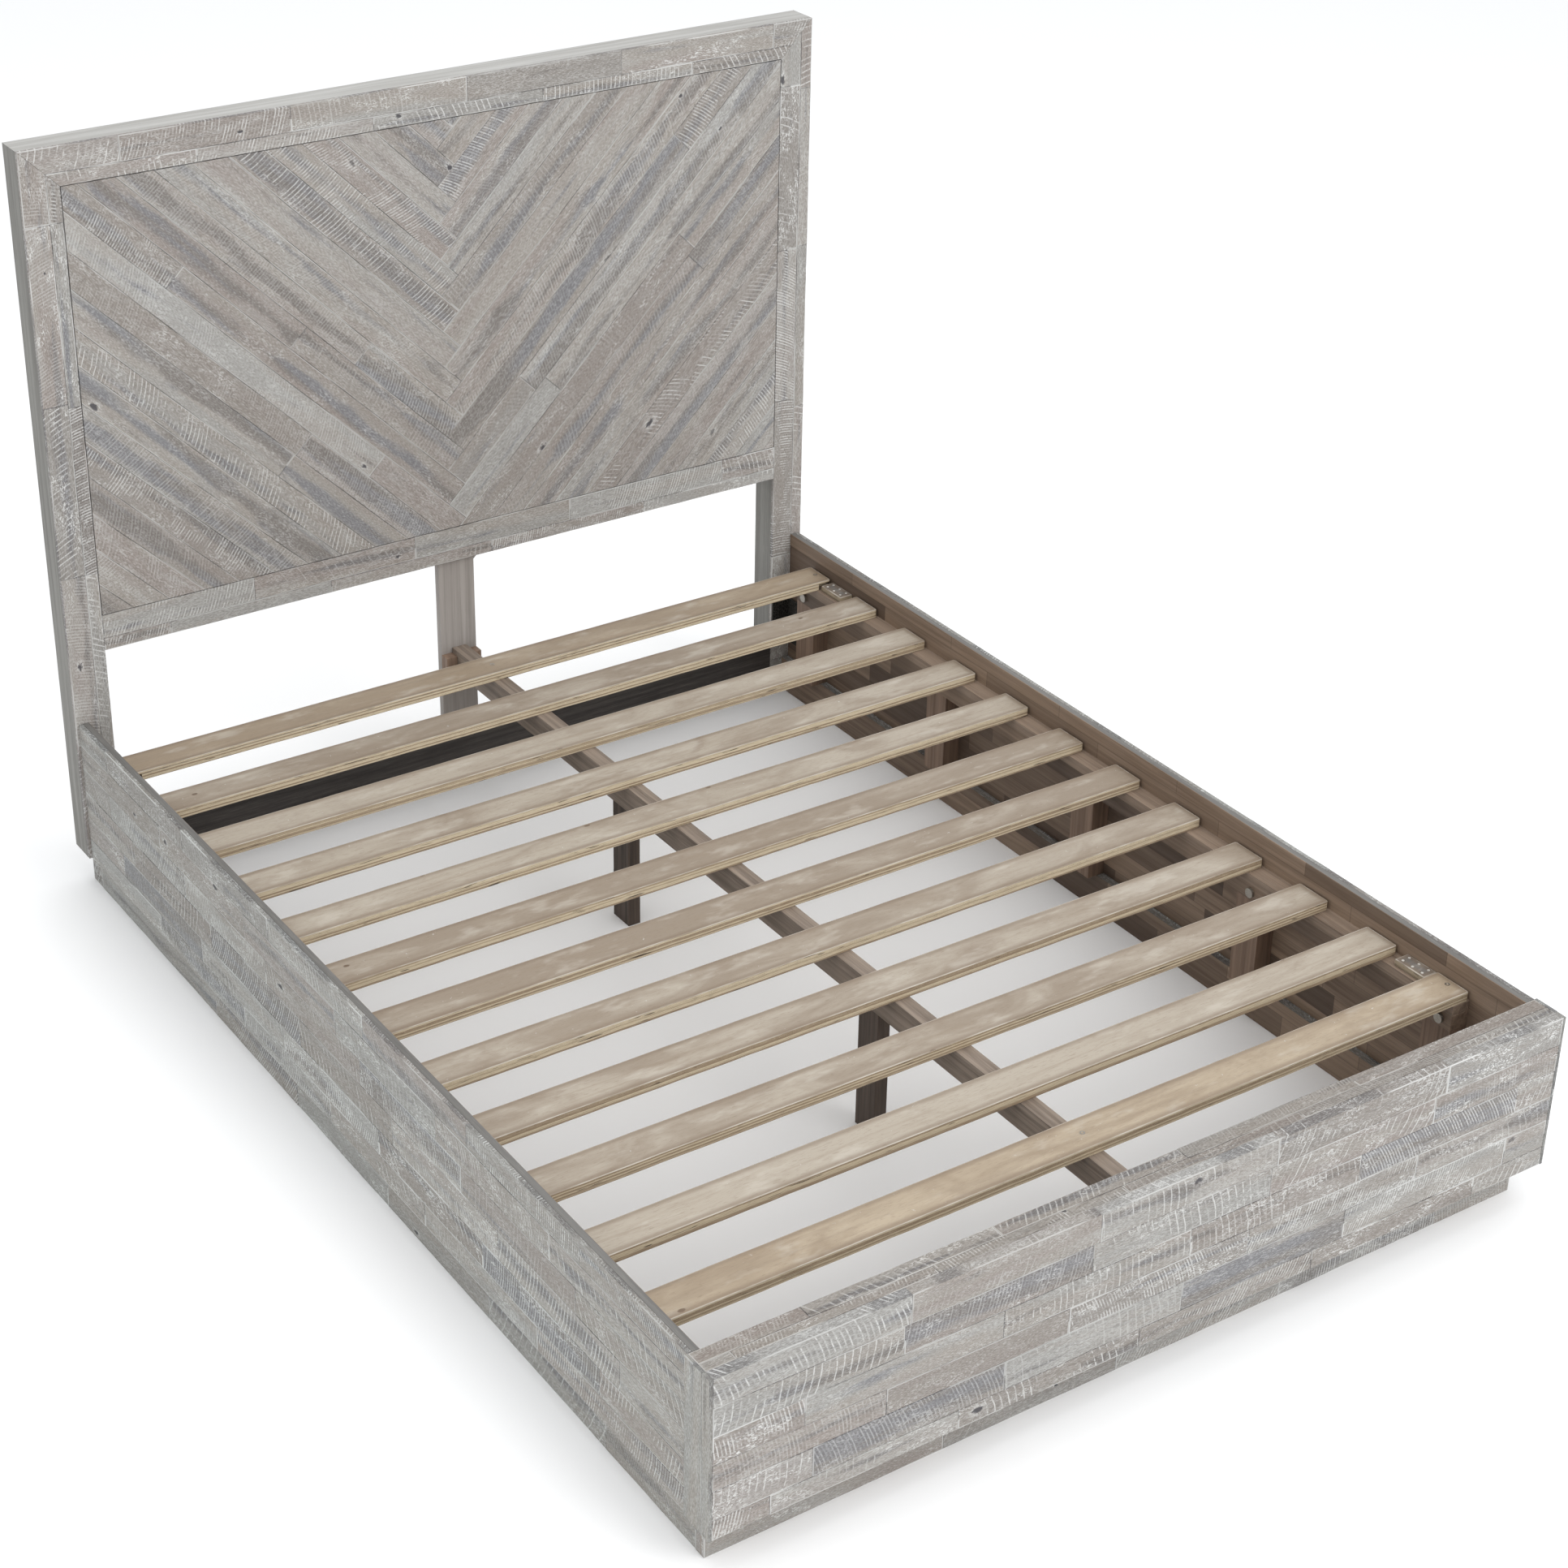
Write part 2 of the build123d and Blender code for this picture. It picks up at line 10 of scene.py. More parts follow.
import bpy
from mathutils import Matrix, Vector


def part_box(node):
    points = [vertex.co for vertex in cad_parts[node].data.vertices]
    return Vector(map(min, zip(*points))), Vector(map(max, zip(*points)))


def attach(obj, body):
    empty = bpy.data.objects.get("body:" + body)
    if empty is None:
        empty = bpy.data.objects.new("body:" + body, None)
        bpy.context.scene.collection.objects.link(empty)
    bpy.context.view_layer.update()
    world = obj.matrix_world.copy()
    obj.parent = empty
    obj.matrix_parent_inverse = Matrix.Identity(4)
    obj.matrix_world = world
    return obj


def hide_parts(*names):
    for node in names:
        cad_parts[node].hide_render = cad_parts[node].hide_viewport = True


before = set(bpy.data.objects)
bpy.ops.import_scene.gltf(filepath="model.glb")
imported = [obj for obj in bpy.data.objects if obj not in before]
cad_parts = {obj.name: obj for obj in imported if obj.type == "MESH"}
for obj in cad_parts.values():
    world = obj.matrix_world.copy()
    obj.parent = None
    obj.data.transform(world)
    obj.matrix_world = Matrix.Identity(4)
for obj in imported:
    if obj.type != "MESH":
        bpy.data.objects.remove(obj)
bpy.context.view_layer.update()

MM = 0.001
X, Y, Z = 0, 1, 2


# ------------------------------------------------------------------ shader helpers
class Shader:
    """A new material whose nodes are added one call at a time."""

    def __init__(self, name):
        self.material = bpy.data.materials.new(name)
        self.material.use_nodes = True
        self.tree = self.material.node_tree
        self.surface = self.tree.nodes["Principled BSDF"]

    def node(self, kind, inputs=(), **settings):
        made = self.tree.nodes.new("ShaderNode" + kind)
        for key, value in settings.items():
            setattr(made, key, value)
        for socket, value in enumerate(inputs):
            self.put(made.inputs[socket], value)
        return made

    def put(self, socket, value):
        """Links the socket to another node's output, or sets it. None leaves it alone."""
        if isinstance(value, bpy.types.NodeSocket):
            self.tree.links.new(value, socket)
        elif value is not None:
            socket.default_value = value

    def math(self, operation, *values):
        return self.node("Math", values, operation=operation).outputs[0]

    def times(self, *factors):
        """Factors multiplied from left to right."""
        product = factors[0]
        for factor in factors[1:]:
            product = self.math("MULTIPLY", product, factor)
        return product

    def from_middle(self, turns):
        """How far turns is from the middle between two whole numbers, from 0 to 0.5."""
        return self.math("ABSOLUTE", self.math("SUBTRACT", self.math("FRACT", turns), 0.5))

    def vector(self, operation, *values):
        return self.node("VectorMath", values, operation=operation).outputs[0]

    def combine(self, *values):
        return self.node("CombineXYZ", values).outputs[0]

    def split(self, vector):
        return self.node("SeparateXYZ", (vector,)).outputs

    def attribute(self, name):
        """The three numbers that the mesh keeps under a name at each of its points."""
        return self.split(self.node("Attribute", attribute_name=name).outputs["Vector"])

    def noise(self, vector, stretch, detail=3.0, rough=0.5, distortion=0.0):
        """Noise with stretch as its scale along each axis, so a small number gives long marks."""
        scaled = self.vector("MULTIPLY", vector, stretch)
        made = self.node("TexNoise", (scaled,))
        made.inputs["Scale"].default_value = 1.0
        made.inputs["Detail"].default_value = detail
        made.inputs["Roughness"].default_value = rough
        made.inputs["Distortion"].default_value = distortion
        return made.outputs["Fac"]

    def step(self, value, low, high, bottom=0.0, top=1.0):
        """Rises smoothly from bottom to top as value goes from low to high."""
        made = self.node("MapRange", (value,), interpolation_type="SMOOTHSTEP")
        made.inputs["From Min"].default_value = low
        made.inputs["From Max"].default_value = high
        made.inputs["To Min"].default_value = bottom
        made.inputs["To Max"].default_value = top
        return made.outputs[0]

    def random(self, value):
        """One random number for each different value."""
        made = self.node("TexWhiteNoise", noise_dimensions="1D")
        self.put(made.inputs["W"], value)
        return made.outputs["Value"]

    def cells(self, vector):
        """A loose grid of cells: the distance to each one's middle, and three random numbers."""
        made = self.node("TexVoronoi", voronoi_dimensions="2D", feature="F1")
        self.put(made.inputs["Vector"], vector)
        made.inputs["Scale"].default_value = 1.0
        return made.outputs["Distance"], self.split(made.outputs["Color"])

    def mix(self, amount, low, high, blend="MIX"):
        """Colours: low where amount is 0, high where it is 1."""
        made = self.node("Mix", data_type="RGBA", blend_type=blend)
        made.clamp_factor = True
        colours = [s for s in made.inputs if s.type == "RGBA"]
        self.put(made.inputs[0], amount)
        self.put(colours[0], low)
        self.put(colours[1], high)
        return [s for s in made.outputs if s.type == "RGBA"][0]

    def bump(self, height, strength, distance):
        made = self.node("Bump")
        made.inputs["Strength"].default_value = strength
        made.inputs["Distance"].default_value = distance
        self.put(made.inputs["Height"], height)
        return made.outputs[0]

    def finish(self, colour, roughness, normal=None, specular=0.35, metallic=0.0):
        self.put(self.surface.inputs["Base Color"], colour)
        self.put(self.surface.inputs["Roughness"], roughness)
        self.put(self.surface.inputs["Normal"], normal)
        self.surface.inputs["Specular IOR Level"].default_value = specular
        self.surface.inputs["Metallic"].default_value = metallic
        return self.material


OWN_SHIFT = (0.37, 0.61, 0.83)  # how far a seed of 1 moves a stave in the noise


class StaveShader(Shader):
    """A material that reads what a Board's mesh says at each point: its place along and across the
    stave, from the middle, its depth below the face, the stave's half size, and its seed."""

    def __init__(self, name):
        super().__init__(name)
        self.along, self.across, self.depth = self.attribute("stave_place")
        self.half_length, self.half_width, self.seed = self.attribute("stave_size")
        own = self.vector("MULTIPLY", self.combine(self.seed, self.seed, self.seed), OWN_SHIFT)
        self.place = self.vector("ADD", self.combine(self.along, self.across, self.depth), own)

    def from_edges(self):
        """Distances to the stave's nearest side and nearest end."""
        to_side = self.math("SUBTRACT", self.half_width, self.math("ABSOLUTE", self.across))
        to_end = self.math("SUBTRACT", self.half_length, self.math("ABSOLUTE", self.along))
        return to_side, to_end

    def on_face(self):
        """1 on the face and its bevel, and 0 down the sides."""
        return self.step(self.depth, 0.001, 0.002, 1.0, 0.0)


def rgb(red, green, blue):
    """A colour given as the eye sees it, from 0 to 255, in Blender's linear values."""
    def linear(value):
        value /= 255
        return value / 12.92 if value <= 0.04045 else ((value + 0.055) / 1.055) ** 2.4
    return (linear(red), linear(green), linear(blue), 1.0)


# ------------------------------------------------------------------ materials
GREY_GREEN, BEIGE, PINK_BROWN = rgb(145, 143, 139), rgb(148, 142, 135), rgb(141, 132, 126)
PALE_GREY, STREAK_BROWN = rgb(167, 166, 163), rgb(129, 122, 116)
HEART_BLUE, HEART_BROWN = rgb(106, 107, 113), rgb(106, 101, 97)
PIGMENT, KNOT = rgb(214, 214, 212), rgb(66, 64, 68)
SLAT_FIGURE, SLAT_TICK, SLAT_HAZE_AND_HIGHLIGHT = rgb(139, 124, 107), rgb(118, 101, 84), rgb(196, 189, 178)
SLAT_PIN, PLY_VOID = rgb(88, 66, 48), rgb(46, 33, 24)
PALE_FIBRE, JOINT_DARK, METAL_WEAR = rgb(196, 190, 182), rgb(62, 49, 41), rgb(140, 136, 128)
STAVE_LENGTH = 0.335
KERF_HALF = 1.1 * MM  # half the width of a saw mark


def stained_ground(s, warmth):
    """The stained ground under the whitewash, grey-green to pinkish brown, in each stave's own
    tone. Also gives the slow drift of its hue and its fine streaks."""
    drift = s.noise(s.place, (2.2, 26.0, 26.0), distortion=0.5)
    hue = s.math("ADD", warmth, s.step(drift, 0.3, 0.7, -0.35, 0.35))
    ground = s.mix(s.step(hue, 0.05, 0.5), GREY_GREEN, BEIGE)
    ground = s.mix(s.step(hue, 0.5, 1.0), ground, PINK_BROWN)
    cloud = s.noise(s.place, (9.0, 40.0, 40.0), detail=4.0, rough=0.6, distortion=0.4)
    ground = s.mix(s.step(cloud, 0.45, 0.75, 0.0, 0.45), ground, PALE_GREY)
    streak = s.noise(s.place, (3.5, 150.0, 150.0), detail=5.0, rough=0.65, distortion=0.3)
    ground = s.mix(s.step(streak, 0.48, 0.75, 0.0, 0.5), ground, STREAK_BROWN)
    tone = s.math("FRACT", s.times(s.seed, 3.71))
    ground = s.mix(s.step(tone, 0.45, 1.0, 0.0, 0.65), ground, STREAK_BROWN)
    ground = s.mix(s.step(tone, 0.0, 0.45, 0.28, 0.0), ground, PALE_GREY)
    return ground, drift, streak


def smoky_heartwood(s, dark):
    """How much a point is heartwood: a feathered band along the stave, and small patches."""
    offset = s.math("MULTIPLY_ADD", s.math("FRACT", s.times(s.seed, 5.17)), 1.2, -0.6)
    across = s.math("DIVIDE", s.across, s.half_width)
    off_band = s.math("ABSOLUTE", s.math("SUBTRACT", across, offset))
    smoke = s.noise(s.place, (4.5, 30.0, 30.0), detail=4.0, rough=0.55, distortion=0.8)
    band = s.math("MULTIPLY_ADD", smoke, 1.6, s.times(off_band, -0.55))
    band = s.math("ADD", band, s.math("MULTIPLY_ADD", dark, 0.55, -0.55))
    return s.step(band, 0.24, 0.56)


def saw_kerfs(s, heart):
    """Gently curved saw marks, each with its own strength, worn in places. Gives the kerfs, the
    pigment that is left in them, and the shade between them."""
    sawn, slant, pitch = s.attribute("stave_saw")
    cross = s.math("ADD", s.across, s.depth)
    run = s.math("SUBTRACT", s.times(s.along, s.math("SINE", slant)),
                 s.times(cross, s.math("COSINE", slant)))
    run = s.math("MULTIPLY_ADD", s.times(cross, cross), 3.0, run)
    wander = s.noise(s.place, (24.0, 24.0, 24.0), detail=2.0)
    turns = s.math("ADD", s.math("DIVIDE", run, pitch), s.times(wander, 0.6))
    from_line = s.times(s.from_middle(turns), pitch)
    each = s.random(s.math("ADD", s.math("FLOOR", turns), s.seed))
    worn = s.noise(s.place, (10.0, 30.0, 30.0), rough=0.6)
    worn = s.math("MULTIPLY_ADD", heart, 0.16, worn)
    sawn_here = s.times(s.step(worn, 0.43, 0.55), sawn)
    line = s.step(from_line, KERF_HALF * 0.5, KERF_HALF * 1.4, 1.0, 0.0)
    kerf = s.times(line, sawn_here, s.step(each, 0.1, 0.6, 0.25, 1.0))
    broken = s.noise(s.place, (130.0, 240.0, 240.0), detail=2.0, rough=0.6)
    white = s.times(s.times(kerf, s.step(broken, 0.34, 0.52, 0.25, 1.0)), 0.70)
    shade = s.times(s.step(from_line, KERF_HALF * 1.3, KERF_HALF * 2.2), sawn_here)
    shade = s.times(shade, s.math("MULTIPLY_ADD", heart, 0.40, 0.16))
    return kerf, white, shade


def knots(s):
    """A few ragged knots, in some cells of a loose grid, and the ring around each."""
    distance, (chance, size, _) = s.cells(s.combine(
        s.math("MULTIPLY_ADD", s.along, 5.5, s.times(s.seed, 3.7)),
        s.math("MULTIPLY_ADD", s.across, 10.0, s.times(s.seed, 1.3)),
        0.0,
    ))
    ragged = s.noise(s.place, (110.0, 200.0, 200.0))
    reach = s.math("MULTIPLY_ADD", ragged, 0.10, s.math("SUBTRACT", distance, 0.05))
    reach = s.math("DIVIDE", reach, s.math("MULTIPLY_ADD", size, 0.9, 0.35))
    chosen = s.step(chance, 0.84, 0.86)
    knot = s.times(s.step(reach, 0.025, 0.055, 1.0, 0.0), chosen)
    ring = s.times(s.step(reach, 0.05, 0.13, 1.0, 0.0), chosen)
    return knot, ring


def whitewashed_staves(name, painted_shade=None):
    """Rough-sawn acacia under a worn whitewash. Each stave brings its own place, size, saw marks
    and tint: white pigment sits in the kerfs, in flecks and pores, and along some of its edges.
    A painted shade, if there is one, darkens all of it, for tops and sides that are to look less
    lit."""
    s = StaveShader(name)
    dark, warmth, flecks = s.attribute("stave_tint")
    ground, drift, streak = stained_ground(s, warmth)
    heart = smoky_heartwood(s, dark)
    heart_tone = s.mix(s.step(drift, 0.42, 0.58), HEART_BLUE, HEART_BROWN)
    ground = s.mix(s.times(heart, 0.75), ground, heart_tone)
    kerf, kerf_white, shade = saw_kerfs(s, heart)
    ground = s.mix(shade, ground, HEART_BROWN)

    # Worm-like flecks in patches, and fine pores everywhere.
    worms = s.noise(s.place, (150.0, 380.0, 380.0), detail=2.0, rough=0.6, distortion=1.2)
    patch = s.noise(s.place, (14.0, 38.0, 38.0), rough=0.6)
    worm_white = s.times(s.step(worms, 0.53, 0.60), s.step(patch, 0.46, 0.60, 0.03, 1.0), flecks)
    pores = s.noise(s.place, (160.0, 900.0, 900.0), detail=2.0, rough=0.7)
    pore_white = s.step(pores, 0.50, 0.64, 0.0, 0.32)
    pore_dark = s.step(pores, 0.34, 0.47, 0.50, 0.0)

    # Along every edge a painted shadow of the joint, fainter where some edges get a hard line of
    # pigment.
    to_side, to_end = s.from_edges()
    to_edge = s.math("MINIMUM", to_side, s.times(to_end, 0.8))
    sealed = s.noise(s.combine(s.math("ADD", s.along, s.seed), s.math("SIGN", s.across), s.seed),
                     (7.0, 3.1, 1.0), detail=1.0)
    edge = s.times(s.step(to_edge, 0.0009, 0.0022, 1.0, 0.0), s.step(sealed, 0.46, 0.58))
    edge = s.times(edge, s.on_face())
    edge_white = s.times(edge, s.math("MULTIPLY_ADD", flecks, 0.65, 0.20))
    joint_shadow = s.times(s.step(to_edge, 0.0004, 0.0013, 0.55, 0.0),
                   s.step(sealed, 0.42, 0.52, 1.0, 0.3))

    knot, ring = knots(s)
    white = s.math("MAXIMUM", kerf_white, s.times(worm_white, 0.90))
    white = s.math("MAXIMUM", s.math("MAXIMUM", white, edge_white), pore_white)
    white = s.math("MAXIMUM", white, s.times(ring, s.step(worms, 0.42, 0.60, 0.0, 0.6)))
    colour = s.mix(pore_dark, ground, HEART_BROWN)
    # Painted shadow in the joints, in the knots' dark colour.
    colour = s.mix(joint_shadow, colour, KNOT)
    colour = s.mix(white, colour, PIGMENT)
    colour = s.mix(s.times(knot, 0.9), colour, KNOT)
    # Painted shade: the whole colour is darkened for a top or a side face.
    if painted_shade:
        colour = s.mix(1.0, colour, painted_shade, blend="MULTIPLY")
    height = s.math("MULTIPLY_ADD", pores, 0.30, s.times(kerf, -0.8))
    height = s.math("MULTIPLY_ADD", streak, 0.35, height)
    height = s.math("MULTIPLY_ADD", worms, 0.25, height)
    height = s.math("MULTIPLY_ADD", knot, -0.6, height)
    roughness = s.step(white, 0.0, 1.0, 0.64, 0.85)
    return s.finish(colour, roughness, s.bump(height, 0.5, 0.0007), specular=0.25)


GLUED_WIDTH = 47 * MM  # of the staves seen on the boards' smooth inner faces
JOINT_HALF, JOINT_SOFT = 0.3 * MM, 0.9 * MM  # where a joint's line is full, and where it ends


def glued_up(s, place, axis, colour):
    """Gives a smooth board the tones and joints of the short staves that it is glued up from."""
    axes = s.split(place)
    rows = s.math("DIVIDE", axes[Z], GLUED_WIDTH)
    row = s.math("FLOOR", rows)
    runs = s.math("ADD", s.math("DIVIDE", axes[axis], STAVE_LENGTH), s.random(row))
    tone = s.node("TexWhiteNoise", noise_dimensions="2D")
    s.put(tone.inputs["Vector"], s.combine(row, s.math("FLOOR", runs), 0.0))
    colour = s.mix(s.step(tone.outputs["Value"], 0.2, 1.0, 0.0, 0.75), colour, JOINT_DARK)
    for turns, width in ((rows, GLUED_WIDTH), (runs, STAVE_LENGTH)):
        near = s.step(s.from_middle(turns), 0.5 - JOINT_SOFT / width, 0.5 - JOINT_HALF / width,
                      0.0, 0.5)
        colour = s.mix(near, colour, JOINT_DARK)
    return colour


def smooth_timber(name, light, dark, axis, speckle=0.25, glued=False):
    """Planed and stained timber whose grain runs along the given axis of the model."""
    s = Shader(name)
    place = s.node("TexCoord").outputs["Object"]

    def stretch(fine, coarse):
        return [coarse if index == axis else fine for index in (X, Y, Z)]

    grain = s.noise(place, stretch(95.0, 2.6), detail=6.0, rough=0.62, distortion=0.5)
    cloud = s.noise(place, stretch(9.0, 1.7), distortion=0.4)
    fibre = s.noise(place, stretch(900.0, 30.0), detail=2.0, rough=0.6)
    colour = s.mix(s.step(grain, 0.30, 0.72), dark, light)
    colour = s.mix(s.step(cloud, 0.35, 0.7, 0.0, 0.45), colour, light)
    colour = s.mix(s.step(fibre, 0.50, 0.75, 0.0, speckle), colour, PALE_FIBRE)
    if glued:
        colour = glued_up(s, place, axis, colour)
    height = s.math("MULTIPLY_ADD", fibre, 0.5, grain)
    roughness = s.step(grain, 0.2, 0.8, 0.67, 0.50)
    return s.finish(colour, roughness, s.bump(height, 0.25, 0.0004))


def slat_face(name, light, dark):
    """Stained veneer on plywood: soft blotches, short grain ticks, pin knots, a stained border and
    a pale painted highlight along the edges.
    """
    s = StaveShader(name)
    warmth = s.attribute("stave_tint")[1]
    blotch = s.noise(s.place, (6.0, 17.0, 17.0), detail=4.0, rough=0.55, distortion=0.8)
    figure = s.noise(s.place, (2.4, 48.0, 48.0), detail=4.0, rough=0.55, distortion=1.2)
    ticks = s.noise(s.place, (70.0, 520.0, 520.0), rough=0.65)
    tone = s.math("ADD", s.math("MULTIPLY_ADD", warmth, 0.35, -0.17), blotch)
    colour = s.mix(s.step(tone, 0.30, 0.70), dark, light)
    colour = s.mix(s.step(figure, 0.45, 0.75, 0.0, 0.45), colour, SLAT_FIGURE)
    colour = s.mix(s.step(ticks, 0.52, 0.72, 0.0, 0.40), colour, SLAT_TICK)
    haze = s.noise(s.place, (11.0, 30.0, 30.0), rough=0.6)
    colour = s.mix(s.step(haze, 0.52, 0.72, 0.0, 0.35), colour, SLAT_HAZE_AND_HIGHLIGHT)
    scuff = s.noise(s.place, (120.0, 90.0, 90.0), detail=4.0, rough=0.75)
    colour = s.mix(s.step(scuff, 0.67, 0.74, 0.0, 0.6), colour, PIGMENT)
    distance, chances = s.cells(s.vector("MULTIPLY", s.place, (4.0, 7.0, 1.0)))
    ragged = s.math("MULTIPLY_ADD", scuff, 0.03, distance)
    pin = s.times(s.step(ragged, 0.030, 0.045, 1.0, 0.0), s.step(chances[1], 0.76, 0.78))
    colour = s.mix(s.times(pin, 0.8), colour, SLAT_PIN)

    # The border: a stained band with a ragged inner edge, and a painted highlight along the very
    # edge.
    to_rim = s.math("MINIMUM", *s.from_edges())
    ragged_rim = s.math("MULTIPLY_ADD", blotch, -0.008, to_rim)
    colour = s.mix(s.step(ragged_rim, 0.0, 0.010, 0.55, 0.0), colour, SLAT_TICK)
    # Painted highlight: a pale line along the very edge of the face.
    rim_highlight = s.times(s.step(to_rim, 0.0008, 0.0026, 1.0, 0.0), s.on_face(),
                  s.step(haze, 0.35, 0.60, 0.15, 0.75))
    colour = s.mix(rim_highlight, colour, SLAT_HAZE_AND_HIGHLIGHT)
    height = s.math("MULTIPLY_ADD", ticks, 0.6, figure)
    return s.finish(colour, s.step(blotch, 0.3, 0.7, 0.60, 0.48), s.bump(height, 0.25, 0.0004))


def ply_edge(name, ply, light, dark):
    """Cut edge of plywood: plies seen as uneven layers through the depth of the board."""
    s = StaveShader(name)
    sway = s.noise(s.place, (4.0, 4.0, 30.0), detail=2.0)
    layers = s.math("MULTIPLY_ADD", sway, 1.1, s.math("DIVIDE", s.depth, ply))
    each = s.random(s.math("ADD", s.math("FLOOR", layers), s.seed))
    colour = s.mix(s.step(each, 0.25, 0.75), dark, light)
    ragged = s.noise(s.place, (45.0, 45.0, 500.0), detail=4.0, rough=0.7)
    glue = s.times(s.step(s.from_middle(layers), 0.36, 0.47), s.step(ragged, 0.40, 0.60))
    colour = s.mix(s.times(glue, 0.75), colour, SLAT_PIN)
    splinter = s.noise(s.place, (28.0, 28.0, 900.0), detail=4.0, rough=0.7)
    colour = s.mix(s.step(splinter, 0.50, 0.72, 0.0, 0.6), colour, light)
    voids = s.noise(s.place, (18.0, 18.0, 330.0), detail=2.0)
    hole = s.step(voids, 0.67, 0.72)
    colour = s.mix(s.times(hole, 0.85), colour, PLY_VOID)
    height = s.math("MULTIPLY_ADD", hole, -1.5, s.math("MULTIPLY_ADD", glue, -0.5, ragged))
    return s.finish(colour, 0.72, s.bump(height, 0.45, 0.0006))


def metal(name, colour, roughness, metallic):
    """Plated or powder-coated steel with fine wear."""
    s = Shader(name)
    place = s.node("TexCoord").outputs["Object"]
    wear = s.noise(place, (350.0, 350.0, 350.0))
    tone = s.mix(s.step(wear, 0.35, 0.7, 0.0, 0.35), colour, METAL_WEAR)
    rough = s.step(wear, 0.3, 0.7, roughness - 0.08, roughness + 0.12)
    return s.finish(tone, rough, s.bump(wear, 0.12, 0.0002), specular=0.5, metallic=metallic)


BROWN_LIGHT, BROWN_DARK = rgb(144, 124, 106), rgb(110, 92, 77)
# Painted shade, multiplied into the staves' colour: the footboard's up-facing top is painted darker
# so it looks no brighter than the fronts, and the faces that look to the sides are painted darker
# as if in shade.
TOP_PAINTED_SHADE, SIDE_PAINTED_SHADE = (0.76, 0.74, 0.72, 1.0), (0.88, 0.90, 0.895, 1.0)
STAVES = whitewashed_staves("whitewashed_acacia")
PAINTED_SHADE_TOP_STAVES = whitewashed_staves("whitewashed_acacia_top_painted_shade", TOP_PAINTED_SHADE)
PAINTED_SHADE_SIDE_STAVES = whitewashed_staves("whitewashed_acacia_side_painted_shade", SIDE_PAINTED_SHADE)
EDGE_X = smooth_timber("grey_edge_x", rgb(172, 171, 168), rgb(148, 146, 142), X)
EDGE_Y = smooth_timber("grey_edge_y", rgb(112, 110, 107), rgb(93, 91, 88), Y, 0.12)
EDGE_Z = smooth_timber("grey_edge_z", rgb(128, 127, 122), rgb(106, 104, 100), Z, 0.15)
INSIDE_X = smooth_timber("brown_inside_x", BROWN_LIGHT, BROWN_DARK, X, 0.05, glued=True)
INSIDE_Y = smooth_timber("brown_inside_y", BROWN_LIGHT, BROWN_DARK, Y, 0.05, glued=True)
LEDGER_WOOD = smooth_timber("brown_ledger", rgb(140, 122, 106), rgb(104, 88, 75), Y, 0.10)
BLOCK_WOOD = smooth_timber("brown_block", rgb(136, 113, 96), rgb(102, 83, 69), Z, 0.05)
BEAM_WOOD = smooth_timber("beam", rgb(142, 128, 115), rgb(98, 86, 76), Y, 0.12)
LEG_WOOD = smooth_timber("dark_leg", rgb(88, 74, 64), rgb(54, 45, 39), Z, 0.03)
GREY_POST = smooth_timber("smooth_grey_post", rgb(160, 154, 149), rgb(130, 124, 119), Z, 0.10)
# Painted shade: the base board's grey finish is given the dark tone that it shows in the shade low
# at the head of the bed.
SHADED_GREY_BOARD = smooth_timber("smooth_grey_board_painted_shade", rgb(66, 61, 58), rgb(42, 38, 36), X, 0.06)
BACK_PANEL = smooth_timber("back_panel", rgb(158, 151, 142), rgb(146, 139, 130), X, 0.06)
GREY_SLAT = slat_face("grey_slat", rgb(168, 158, 144), rgb(142, 129, 114))
TAN_SLAT = slat_face("tan_slat", rgb(172, 157, 136), rgb(148, 132, 112))
SLAT_EDGE = ply_edge("slat_edge", 2.6 * MM, rgb(202, 187, 160), rgb(148, 129, 106))
STOP_FACE = slat_face("stop_face", rgb(122, 117, 112), rgb(98, 94, 90))
STOP_EDGE = ply_edge("stop_edge", 2.4 * MM, rgb(160, 146, 124), rgb(84, 72, 60))
ZINC = metal("zinc_plate", rgb(156, 151, 143), 0.38, 0.9)
NAIL_STEEL = metal("bright_nail", rgb(236, 234, 228), 0.45, 0.5)
BLACK_STEEL = metal("black_steel", rgb(34, 33, 32), 0.5, 0.6)


# ------------------------------------------------------------------ boards made of staves
def rectangle(left, low, right, high):
    return [(left, low), (right, low), (right, high), (left, high)]


def clip(outline, nx, ny, limit):
    """The part of a convex outline where nx * x + ny * y is at most limit."""
    kept = []
    for (ax, ay), (bx, by) in zip(outline, outline[1:] + outline[:1]):
        a, b = nx * ax + ny * ay - limit, nx * bx + ny * by - limit
        if a <= 0:
            kept.append((ax, ay))
        if (a < 0 < b) or (b < 0 < a):
            t = a / (a - b)
            kept.append((ax + t * (bx - ax), ay + t * (by - ay)))
    return kept


def area(outline):
    """The outline's area, negative if it is drawn clockwise."""
    pairs = zip(outline, outline[1:] + outline[:1])
    return sum(ax * by - bx * ay for (ax, ay), (bx, by) in pairs) / 2


SHARPEST = 0.35  # keeps shrink() from throwing a very sharp corner far inwards


def shrink(outline, distance):
    """The outline, drawn counter-clockwise, moved inwards by distance on every side."""
    moved = []
    for before, (x, y), after in zip(outline[-1:] + outline, outline, outline[1:] + outline[:1]):
        into = Vector((x - before[0], y - before[1]))
        out_of = Vector((after[0] - x, after[1] - y))
        into.normalize()
        out_of.normalize()
        left_in, left_out = Vector((-into.y, into.x)), Vector((-out_of.y, out_of.x))
        both = left_in + left_out
        scale = distance / max(SHARPEST, both.length_squared / 2)
        moved.append((x + both.x * scale, y + both.y * scale))
    return moved


